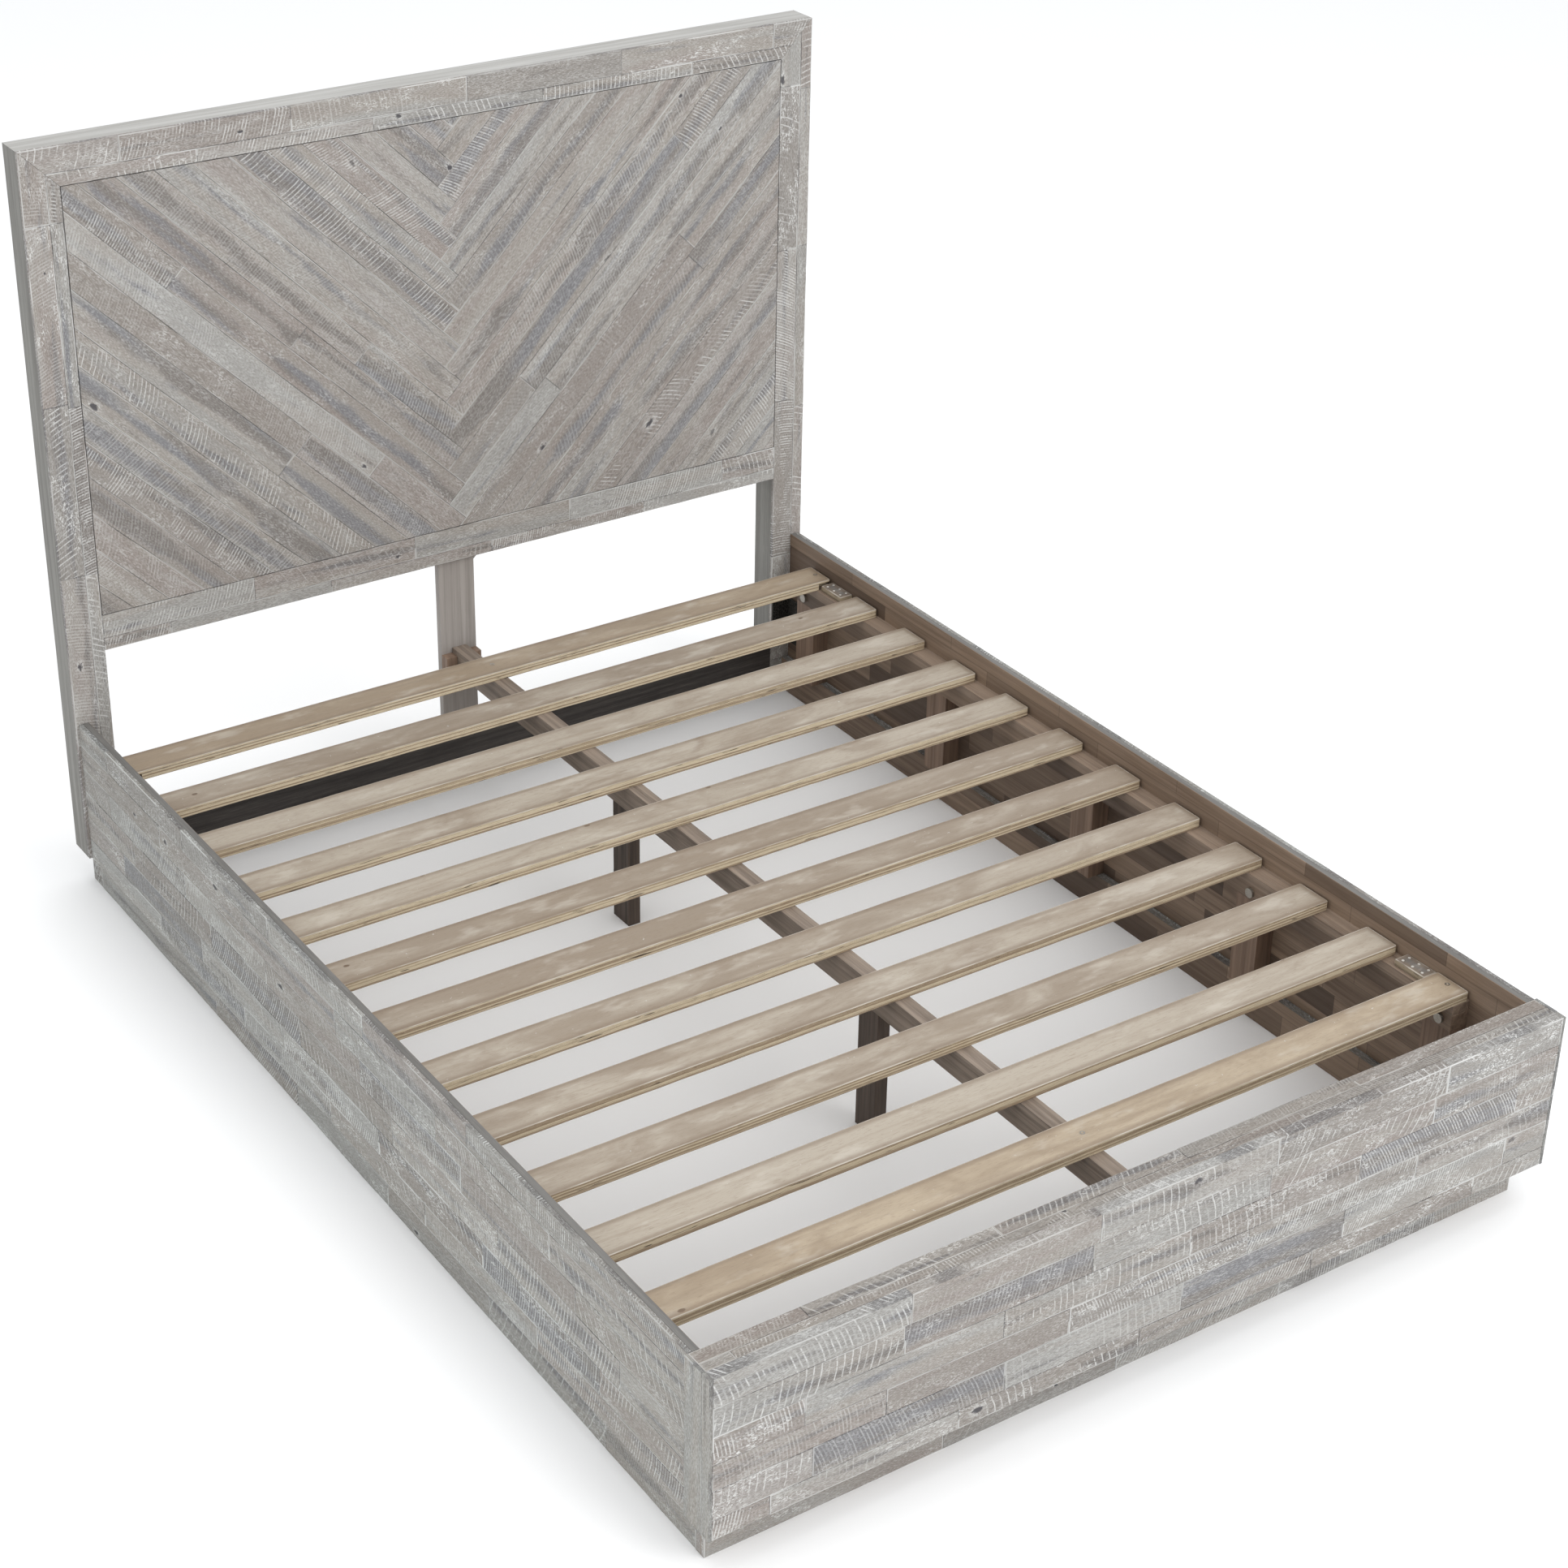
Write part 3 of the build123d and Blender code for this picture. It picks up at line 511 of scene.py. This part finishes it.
def roughen(outline, chance, step, amount):
    """The outline with points added at every step or so along its sides, each up to amount inside
    the straight line."""
    points = []
    for (ax, ay), (bx, by) in zip(outline, outline[1:] + outline[:1]):
        length = math.hypot(bx - ax, by - ay)
        points.append((ax, ay))
        count = int(length / step)
        for index in range(1, count):
            t = (index + chance.uniform(-0.3, 0.3)) / count
            push = chance.random() ** 2 * amount
            nx, ny = -(by - ay) / length, (bx - ax) / length
            points.append((ax + t * (bx - ax) + nx * push, ay + t * (by - ay) + ny * push))
    return points


DARK_CHOICES = (0.0, 0.0, 0.1, 0.2, 0.3, 0.45)  # how much heartwood a stave may have
HEARTWOOD = 1.45  # and when it is nearly all heartwood
SAWN_CHOICES = (0.0, 0.5, 0.9, 1.0, 1.0)  # how strong its saw marks may be
FINE_PITCHES, WIDE_PITCHES = (5.0, 6.5), (8.0, 15.0)  # from one mark to the next, in mm


class Board:
    """One wooden piece: closed solids in one mesh, each cut to an outline on a flat face. Beside
    its points it keeps what the materials read at them, as StaveShader says."""

    def __init__(self, name, materials, seed):
        self.name, self.materials = name, materials
        self.chance = random.Random(seed)
        self.points, self.faces, self.slots = [], [], []
        self.place, self.size, self.saw, self.tint = [], [], [], []

    def solid(self, plane, outline, depth, grain=0.0, recess=0.0, bevel=0.6 * MM,
              rough=(0.05, 0.0), slots=(0, 0, 0), saw=(0.0, 1.4, 8 * MM), tint=(0.0, 0.5, 0.0)):
        """Adds a closed solid. plane is (origin, right, up): the outline lies on it and the solid
        goes inwards. grain is the angle of its grain from right, rough the step and amount of
        roughen(), and slots are the material slots of its face, sides and back. saw is how sawn,
        the slant and the pitch of its marks, and tint how dark, how warm and how flecked it is."""
        origin, right, up = plane
        outward = right.cross(up)
        if area(outline) < 0:
            outline = outline[::-1]
        cos, sin = math.cos(grain), math.sin(grain)
        along = [x * cos + y * sin for x, y in outline]
        across = [y * cos - x * sin for x, y in outline]
        middle = ((min(along) + max(along)) / 2, (min(across) + max(across)) / 2)
        half = ((max(along) - min(along)) / 2, (max(across) - min(across)) / 2)
        seed = self.chance.uniform(0, 40)
        outline = roughen(outline, self.chance, *rough)
        inner = shrink(outline, bevel)
        rings = [(inner, recess), (outline, recess + bevel),
                 (outline, depth - bevel), (inner, depth)]
        start, count = len(self.points), len(outline)
        for ring, down in rings:
            for x, y in ring:
                self.points.append(origin + right * x + up * y - outward * down)
                self.place.append((x * cos + y * sin - middle[0],
                                   y * cos - x * sin - middle[1], down))
                self.size.append((*half, seed))
                self.saw.append(saw)
                self.tint.append(tint)
        corners = range(count)
        self.faces.append([start + c for c in corners])
        self.faces.append([start + 3 * count + c for c in reversed(corners)])
        self.slots += [slots[0], slots[2]]
        for ring, slot in ((0, slots[0]), (1, slots[1]), (2, slots[2])):
            a, b = start + ring * count, start + (ring + 1) * count
            for c in corners:
                n = (c + 1) % count
                self.faces.append([a + c, b + c, b + n, a + n])
                self.slots.append(slot)

    def stave(self, plane, outline, depth, grain=0.0, dark=None, sawn=None, flecks=None,
              gap=0.1 * MM, ragged=0.35 * MM, uneven=0.7 * MM, warmth=(0.0, 1.0),
              pitches=WIDE_PITCHES):
        """Adds one whitewashed stave, with chance deciding what isn't given. gap is left around
        it, and uneven is the deepest that its face may lie."""
        chance = self.chance
        dark = chance.choice(DARK_CHOICES) if dark is None else dark
        sawn = chance.choice(SAWN_CHOICES) if sawn is None else sawn
        flecks = chance.uniform(0.3, 1.0) if flecks is None else flecks
        slant = math.pi / 2 + chance.choice((-1, 1)) * chance.uniform(0.05, 0.55)
        fine = chance.random() < 0.3 + 0.6 * dark
        pitch = chance.uniform(*(FINE_PITCHES if fine else pitches))
        if area(outline) < 0:
            outline = outline[::-1]
        recess = chance.uniform(0.05 * MM, uneven)
        tint = (dark, chance.uniform(*warmth), flecks)
        self.solid(plane, shrink(outline, gap), depth, grain, recess, bevel=0.4 * MM,
                   rough=(0.03, ragged), saw=(sawn, slant, pitch * MM), tint=tint)

    def row(self, plane, width, low, high, depth, first, darks=(), **settings):
        """A row of staves, butt-jointed first and then at every stave's length or so. darks are
        the staves, counted from 0, that are nearly all heartwood."""
        joints = [0]
        joint = first
        while joint < width - STAVE_LENGTH * 0.2:
            joints.append(joint)
            joint += STAVE_LENGTH * self.chance.uniform(0.96, 1.04)
        joints.append(width)
        for index, (left, right) in enumerate(zip(joints, joints[1:])):
            self.stave(plane, rectangle(left, low, right, high), depth,
                       dark=HEARTWOOD if index in darks else None, **settings)

    def block(self, lo, hi, facing, slots=(0, 0, 0), outline=None, **settings):
        """Adds a plain board between two corners. slots are those of its face, which looks the way
        named, its sides and its back."""
        plane, width, height, depth = face_plane(lo, hi, facing)
        settings = {"rough": (0.05, 0.3 * MM), "bevel": 0.8 * MM, **settings}
        self.solid(plane, outline or rectangle(0, 0, width, height), depth, slots=slots, **settings)

    def make(self, *nodes, body="bed", slot="whitewashed_wood"):
        """Makes the object and puts it in the frame in place of the named nodes."""
        mesh = bpy.data.meshes.new(self.name)
        mesh.from_pydata([tuple(p) for p in self.points], [], self.faces)
        for material in self.materials:
            mesh.materials.append(material)
        mesh.polygons.foreach_set("material_index", self.slots)
        for name, values in (("stave_place", self.place), ("stave_size", self.size),
                             ("stave_saw", self.saw), ("stave_tint", self.tint)):
            data = mesh.attributes.new(name, "FLOAT_VECTOR", "POINT").data
            data.foreach_set("vector", [number for value in values for number in value])
        mesh.update()
        made = bpy.data.objects.new(self.name, mesh)
        bpy.context.scene.collection.objects.link(made)
        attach(made, body)
        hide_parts(*nodes)


FACINGS = {  # which way a face looks: its left-to-right direction and its upward direction
    "front": ((1, 0, 0), (0, 0, 1)),
    "back": ((-1, 0, 0), (0, 0, 1)),
    "left": ((0, -1, 0), (0, 0, 1)),
    "right": ((0, 1, 0), (0, 0, 1)),
    "top": ((1, 0, 0), (0, 1, 0)),
}


def face_plane(lo, hi, facing):
    """One face of a box: its plane, drawn from its lower left corner as seen from outside, its
    width, its height, and the box's depth behind it."""
    right, up = (Vector(direction) for direction in FACINGS[facing])
    outward = right.cross(up)
    middle, half = (Vector(lo) + Vector(hi)) / 2, (Vector(hi) - Vector(lo)) / 2
    width, height, depth = (2 * abs(half.dot(direction)) for direction in (right, up, outward))
    origin = middle + outward * depth / 2 - right * width / 2 - up * height / 2
    return (origin, right, up), width, height, depth


def behind(plane, distance):
    """The same plane, moved inwards."""
    origin, right, up = plane
    return origin - right.cross(up) * distance, right, up


FACING_DEPTH = 8 * MM  # how far a stave's joints can be seen into a board
UPRIGHT = math.pi / 2  # grain that runs up

# Rows from the top down: height, first joint from the left end, and which staves are dark.
FOOTBOARD_ROWS = ((51, 0.325, ()), (50, 0.315, (1,)), (49, 0.150, (4,)), (46, 0.288, ()),
                  (52, 0.165, (1, 3)), (35, 0.095, ()))
RAIL_ROWS = ((42, 0.121, ()), (49, 0.346, ()), (48, 0.121, (4,)), (53, 0.217, (2,)),
             (48, 0.163, (1, 5)), (43, 0.319, (1,)))


def stave_rows(board, plane, width, height, depth, rows):
    """Fills a face with rows of staves, from the top down."""
    scale = height / sum(row[0] for row in rows)
    top = height
    for tall, first, darks in rows:
        low = max(0.0, top - tall * scale)
        board.row(plane, width, low, top, depth, first, darks)
        top = low


# ------------------------------------------------------------------ footboard
TOP_ROW_DEPTH = 50 * MM  # how far the joints in the footboard's top edge go down
FRONT_STRIP = 0.3  # the front strip's share of a footboard end


def footboard():
    plane, width, height, depth = face_plane(*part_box("footboard_face"), "front")
    board = Board("footboard_face_staves", [STAVES], 11)
    stave_rows(board, plane, width, height, depth, FOOTBOARD_ROWS)
    board.make("footboard_face")

    for node, first, seed in (("footboard_core", 0.05, 12), ("footboard_lining", 0.18, 13)):
        lo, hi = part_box(node)
        board = Board(node + "_staves", [PAINTED_SHADE_TOP_STAVES, INSIDE_X], seed)
        plane, width, height, _ = face_plane(lo, hi, "top")
        board.row(plane, width, 0, height, TOP_ROW_DEPTH, first)
        board.block(lo, (hi.x, hi.y, hi.z - TOP_ROW_DEPTH), "back", (1, 1, 1))
        board.make(node)

    for side, seed in (("left", 14), ("right", 15)):
        plane, width, height, depth = face_plane(*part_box(f"footboard_end_{side}"), side)
        board = Board(f"footboard_end_{side}_strips", [PAINTED_SHADE_SIDE_STAVES], seed)
        split = width * (FRONT_STRIP if side == "right" else 1 - FRONT_STRIP)
        for outline in (rectangle(0, 0, split, height), rectangle(split, 0, width, height)):
            board.stave(plane, outline, depth, grain=UPRIGHT, dark=0.2, sawn=0.0)
        board.make(f"footboard_end_{side}")


# ------------------------------------------------------------------ side rails and plinths
def side_rails():
    for side, seed in (("left", 21), ("right", 22)):
        node = f"side_rail_{side}"
        plane, width, height, depth = face_plane(*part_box(node), side)
        board = Board(node + "_staves", [PAINTED_SHADE_SIDE_STAVES, EDGE_Y, INSIDE_Y], seed)
        stave_rows(board, plane, width, height, FACING_DEPTH, RAIL_ROWS)
        board.solid(behind(plane, FACING_DEPTH), rectangle(0, 0, width, height),
                    depth - FACING_DEPTH, bevel=0.8 * MM, slots=(1, 1, 2))
        board.make(node)


def plinths():
    for node, facing, first, seed in (("footboard_plinth", "front", 0.411, 31),
                                      ("side_plinth_left", "left", 0.503, 32),
                                      ("side_plinth_right", "right", 0.503, 33)):
        plane, width, height, depth = face_plane(*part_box(node), facing)
        materials = [STAVES, INSIDE_X] if facing == "front" else [PAINTED_SHADE_SIDE_STAVES, INSIDE_Y]
        board = Board(node + "_staves", materials, seed)
        # No gaps: the rails overlap the plinths by only 4 mm, so light would come through.
        board.row(plane, width, 0, height, FACING_DEPTH, first, gap=0.0, ragged=0.0)
        board.solid(behind(plane, FACING_DEPTH), rectangle(0, 0, width, height),
                    depth - FACING_DEPTH, bevel=0.5 * MM, slots=(1, 0, 1))
        board.make(node)


def foot_blocks():
    for side, seed in (("left", 34), ("right", 35)):
        node = f"headboard_foot_block_{side}"
        plane, width, height, depth = face_plane(*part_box(node), side)
        board = Board(node + "_staves", [PAINTED_SHADE_SIDE_STAVES], seed)
        board.row(plane, width, 0, height, depth, first=width)
        board.make(node)


# ------------------------------------------------------------------ headboard
WIDE_STRIP = 46 * MM  # each border member is a wide and a narrow strip, side by side
SHORTEST_STAVE = 60 * MM  # at the end of a strip


class Border:
    """The headboard's border, whose members are mitred where the posts meet the top rail. Its
    plane starts at the left post's outer side, on the floor."""

    def __init__(self):
        left_lo, left_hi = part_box("headboard_post_left")
        self.foot, self.top = left_lo.z, left_hi.z
        self.member = left_hi.x - left_lo.x
        self.depth = left_hi.y - left_lo.y
        self.left = left_lo.x
        self.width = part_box("headboard_post_right")[1].x - self.left
        self.plane = (Vector((self.left, left_lo.y, 0)), Vector((1, 0, 0)), Vector((0, 0, 1)))

    def mitred(self, outline, side):
        """The part of an outline that lies within its member's mitres."""
        if side == "left":
            return clip(outline, 1, 1, self.top)
        if side == "right":
            return clip(outline, -1, 1, self.top - self.width)
        if side == "top":
            return clip(clip(outline, -1, -1, -self.top), 1, -1, self.width - self.top)
        return outline

    def strip(self, board, side, low, high, span, first, dark_one=None):
        """Butt-jointed staves in one strip, from low to high across its grain and over its span
        along it. dark_one is the stave, counted from 0, that is nearly all heartwood."""
        start, stop = span
        upright = side in ("left", "right")
        ends = [start]
        joint = start + first
        while joint < stop - SHORTEST_STAVE:
            ends.append(joint)
            joint += STAVE_LENGTH * board.chance.uniform(0.95, 1.08)
        ends.append(stop)
        for index, (a, b) in enumerate(zip(ends, ends[1:])):
            outline = rectangle(low, a, high, b) if upright else rectangle(a, low, b, high)
            outline = self.mitred(outline, side)
            if len(outline) > 2:
                board.stave(self.plane, outline, FACING_DEPTH, grain=UPRIGHT if upright else 0.0,
                            dark=HEARTWOOD if index == dark_one else None)

    def core(self, board, side, outline):
        """The member behind its strips: plain on its sides and back."""
        board.solid(behind(self.plane, FACING_DEPTH), self.mitred(outline, side),
                    self.depth - FACING_DEPTH, bevel=0.8 * MM, rough=(0.05, 0.2 * MM),
                    slots=(1, 1, 1))


def headboard_border():
    border = Border()
    foot, top, member, width = border.foot, border.top, border.member, border.width

    for side, seed, x, dark_one in (("left", 41, 0.0, 2), ("right", 42, width - member, None)):
        board = Board(f"headboard_post_{side}_strips", [STAVES, EDGE_Z], seed)
        split = x + WIDE_STRIP
        border.strip(board, side, x, split, (foot, top), 0.24)
        border.strip(board, side, split, x + member, (foot, top), 0.22, dark_one)
        border.core(board, side, rectangle(x, foot, x + member, top))
        board.make(f"headboard_post_{side}")

    board = Board("headboard_top_rail_strips", [STAVES, EDGE_X], 43)
    border.strip(board, "top", top - WIDE_STRIP, top, (0.0, width), 0.18)
    border.strip(board, "top", top - member, top - WIDE_STRIP, (0.0, width), 0.32)
    border.core(board, "top", rectangle(0, top - member, width, top))
    board.make("headboard_top_rail")

    lo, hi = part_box("headboard_bottom_rail")
    low, high, start, stop = lo.z, hi.z, lo.x - border.left, hi.x - border.left
    board = Board("headboard_bottom_rail_strips", [STAVES, EDGE_X], 44)
    border.strip(board, "bottom", high - WIDE_STRIP, high, (start, stop), 0.30)
    border.strip(board, "bottom", low, high - WIDE_STRIP, (start, stop), 0.13)
    border.core(board, "bottom", rectangle(start, low, stop, high))
    board.make("headboard_bottom_rail")


STRIP_PITCH = 70 * MM  # one chevron strip, measured up the middle line
FIRST_STEP = 15 * MM  # from the panel's foot to the first step of its middle joint
PANEL_GAP = 1.1 * MM  # shadow line between the panel and its border
LONGEST_STRIP = 0.85  # a longer one is made of two staves
SMALLEST_PIECE = 1e-5  # in square metres
CHEVRON_SAWN = (0.0, 0.2, 0.35, 0.5, 0.9)  # its strips' own choices and ranges
CHEVRON_DARK = (0.1, 0.4, 0.6, 0.8, 1.0)
CHEVRON_FLECKS = (0.2, 0.6)
CHEVRON_WARMTH = (0.3, 0.9)
CHEVRON_PITCHES = (5.5, 9.0)


def chevron_strip(panel, sign, tip):
    """The outline of one strip: between two lines of x + z, up to one of z - x, or for the right
    half, where sign is -1, its mirror image. tip is the height of its tip on the middle line."""
    quarter = STRIP_PITCH / 4
    strip = clip(panel, sign, 1, tip + quarter)
    strip = clip(strip, -sign, -1, -(tip + quarter - STRIP_PITCH))
    return clip(strip, sign, -1, -(tip - quarter))


def big_enough(outline):
    return len(outline) > 2 and abs(area(outline)) > SMALLEST_PIECE


def chevron():
    """Strips at 45 degrees that meet down the middle in a herringbone's stepped joint."""
    lo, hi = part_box("chevron_panel_left")[0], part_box("chevron_panel_right")[1]
    depth = hi.y - lo.y
    plane = (Vector((0, lo.y, 0)), Vector((1, 0, 0)), Vector((0, 0, 1)))
    left, right = lo.x + PANEL_GAP, hi.x - PANEL_GAP
    panel = rectangle(left, lo.z + PANEL_GAP, right, hi.z - PANEL_GAP)
    reach = int((right - left) / STRIP_PITCH) + 2
    for side, sign, first, seed in (("left", 1, FIRST_STEP, 51),
                                    ("right", -1, FIRST_STEP + STRIP_PITCH / 2, 52)):
        board = Board(f"chevron_{side}_strips", [STAVES], seed)
        chance = board.chance
        grain = -sign * math.pi / 4
        cos, sin = math.cos(grain), math.sin(grain)
        for index in range(-reach, reach + 2):
            strip = chevron_strip(panel, sign, lo.z + first + index * STRIP_PITCH)
            if not big_enough(strip):
                continue
            runs = [x * cos + z * sin for x, z in strip]
            low, high = min(runs), max(runs)
            ends = [low - 1, high + 1]
            if high - low > LONGEST_STRIP:
                ends.insert(1, low + (high - low) * chance.uniform(0.2, 0.8))
            for a, b in zip(ends, ends[1:]):
                piece = clip(clip(strip, cos, sin, b), -cos, -sin, -a)
                if big_enough(piece):
                    board.stave(plane, piece, depth, grain, sawn=chance.choice(CHEVRON_SAWN),
                                dark=chance.choice(CHEVRON_DARK), gap=0.05 * MM,
                                flecks=chance.uniform(*CHEVRON_FLECKS), uneven=0.25 * MM,
                                warmth=CHEVRON_WARMTH, pitches=CHEVRON_PITCHES)
        board.make(f"chevron_panel_{side}")


# ------------------------------------------------------------------ slats
SLAT_CORNER = 3.5 * MM  # radius of a slat's corners, seen from above
NOTCH_LENGTH, NOTCH_DEPTH, NOTCH_HEIGHT = 28 * MM, 14 * MM, 12.5 * MM  # in the last slat


def rounded(width, height, radius):
    """A rectangle's outline with rounded corners."""
    outline = []
    for x, y, start in ((width, 0, -90), (width, height, 0), (0, height, 90), (0, 0, 180)):
        middle_x = x - radius if x else radius
        middle_y = y - radius if y else radius
        for angle in (start, start + 30, start + 60, start + 90):
            turn = math.radians(angle)
            outline.append((middle_x + radius * math.cos(turn), middle_y + radius * math.sin(turn)))
    return outline


def notched(width, height):
    """The outline of the last slat's lower plies, cut away at its two front corners."""
    left, right = NOTCH_LENGTH, width - NOTCH_LENGTH
    return [(left, 0), (right, 0), (right, NOTCH_DEPTH), (width, NOTCH_DEPTH),
            (width, height), (0, height), (0, NOTCH_DEPTH), (left, NOTCH_DEPTH)]


def slats():
    """Twelve slats: the first and the last are screwed down, and the others lie loose."""
    for number in range(1, 13):
        node = f"slat_{number:02d}"
        lo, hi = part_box(node)
        loose = 1 < number < 12
        board = Board(node + "_ply", [GREY_SLAT if loose else TAN_SLAT, SLAT_EDGE], 60 + number)
        settings = {"rough": (0.035, 0.8 * MM), "tint": (0.0, board.chance.random(), 0.0)}
        outline = rounded(hi.x - lo.x, hi.y - lo.y, SLAT_CORNER)
        bottom = lo.z + NOTCH_HEIGHT if number == 12 else lo.z
        board.block((lo.x, lo.y, bottom), hi, "top", (0, 1, 0), outline, recess=0.2 * MM,
                    bevel=0.7 * MM, **settings)
        if number == 12:  # its lower plies are notched, so they are a solid of their own
            outline = notched(hi.x - lo.x, hi.y - lo.y)
            board.block(lo, (hi.x, hi.y, bottom), "top", (0, 1, 0), outline,
                        bevel=0.2 * MM, **settings)
        if loose:
            board.make(node, body=node, slot="grey_plywood")
        else:
            board.make(node, slot="tan_plywood")


def stop_blocks():
    for end in ("foot", "head"):
        for side, seed in (("left", 88), ("right", 89)):
            node = f"slat_stop_{end}_{side}"
            board = Board(node + "_ply", [STOP_FACE, STOP_EDGE], seed)
            board.block(*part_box(node), "top", (0, 1, 0))
            board.make(node, slot="grey_plywood")


# ------------------------------------------------------------------ plain timber and metal
PLAIN_TIMBER = (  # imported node, material, slot
    ("ledger_left", INSIDE_Y, "brown_stained_wood"),
    ("ledger_right", INSIDE_Y, "brown_stained_wood"),
    ("ledger_cap_left", LEDGER_WOOD, "brown_stained_wood"),
    ("ledger_cap_right", LEDGER_WOOD, "brown_stained_wood"),
    ("centre_beam", BEAM_WOOD, "brown_stained_wood"),
    ("centre_leg_foot", LEG_WOOD, "dark_stained_wood"),
    ("centre_leg_head", LEG_WOOD, "dark_stained_wood"),
    ("headboard_centre_leg", GREY_POST, "smooth_grey_wood"),
    ("headboard_base_board", SHADED_GREY_BOARD, "smooth_grey_wood"),
    ("headboard_backer", BACK_PANEL, "plain_panel"),
    ("headboard_back_panel", BACK_PANEL, "plain_panel"),
)


def plain_timber():
    for seed, (node, material, slot) in enumerate(PLAIN_TIMBER, start=90):
        board = Board(node + "_board", [material], seed)
        board.block(*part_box(node), "front")
        board.make(node, slot=slot)


def paint(material, *nodes):
    """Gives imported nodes, which keep their own shape, a material."""
    for node in nodes:
        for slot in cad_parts[node].material_slots:
            slot.material = material


def packed_nodes():
    paint(BLOCK_WOOD, "beam_cradle_foot", "beam_cradle_head")
    paint(BLOCK_WOOD, "ledger_support_blocks_left", "ledger_support_blocks_right")
    paint(GREY_POST, "headboard_glue_blocks")
    paint(BACK_PANEL, "headboard_battens")
    paint(ZINC, "slat_screws", "ledger_bolts")
    paint(NAIL_STEEL, "stop_block_nails")
    paint(BLACK_STEEL, "bracket_screws")
    paint(BLACK_STEEL, *(f"corner_bracket_{end}_{side}" for end in ("foot", "head")
                         for side in ("left", "right")))


# ------------------------------------------------------------------ stage
LOOKED_AT = Vector((0, 0, 0.4))  # the middle of the bed, which every light faces
LIGHTS = (  # name, place, size and watts
    ("key", (1.6, -5.2, 5.0), 4.0, 190.0),
    ("top", (-0.5, 0.5, 6.0), 5.0, 110.0),
    ("fill", (-2.2, -1.1, 0.8), 0.9, 4.5),
)


def stage():
    """A plain pale floor under soft studio light."""
    bpy.ops.mesh.primitive_plane_add(size=60)
    floor = bpy.context.object
    floor.name = "studio_floor"
    pale = Shader("studio_floor")
    floor.data.materials.append(pale.finish(rgb(250, 250, 250), 0.9, specular=0.1))

    world = bpy.data.worlds.new("studio")
    world.use_nodes = True
    sky = world.node_tree.nodes["Background"]
    sky.inputs["Color"].default_value = (0.97, 0.985, 1.0, 1.0)
    sky.inputs["Strength"].default_value = 0.95
    bpy.context.scene.world = world

    for name, spot, size, power in LIGHTS:
        light = bpy.data.lights.new(name, "AREA")
        light.size, light.energy = size, power
        lamp = bpy.data.objects.new(name, light)
        lamp.location = spot
        lamp.visible_camera = False
        lamp.rotation_euler = (LOOKED_AT - Vector(spot)).to_track_quat("-Z", "Y").to_euler()
        bpy.context.scene.collection.objects.link(lamp)


def camera():
    """Stands at the left of the foot of the bed, above it, and looks down its length."""
    lens = bpy.data.cameras.new("camera")
    lens.lens, lens.sensor_width = 70.07, 36.0
    lens.shift_x, lens.shift_y = 0.0283, -0.0366
    lens.clip_end = 100.0
    made = bpy.data.objects.new("camera", lens)
    made.location = (-2.5035, -3.7056, 3.0203)
    made.rotation_euler = [math.radians(angle) for angle in (61.551, -0.685, -33.308)]
    bpy.context.scene.collection.objects.link(made)
    bpy.context.scene.camera = made
    bpy.context.scene.view_settings.view_transform = "Standard"


footboard()
side_rails()
plinths()
foot_blocks()
headboard_border()
chevron()
slats()
stop_blocks()
plain_timber()
packed_nodes()
stage()
camera()
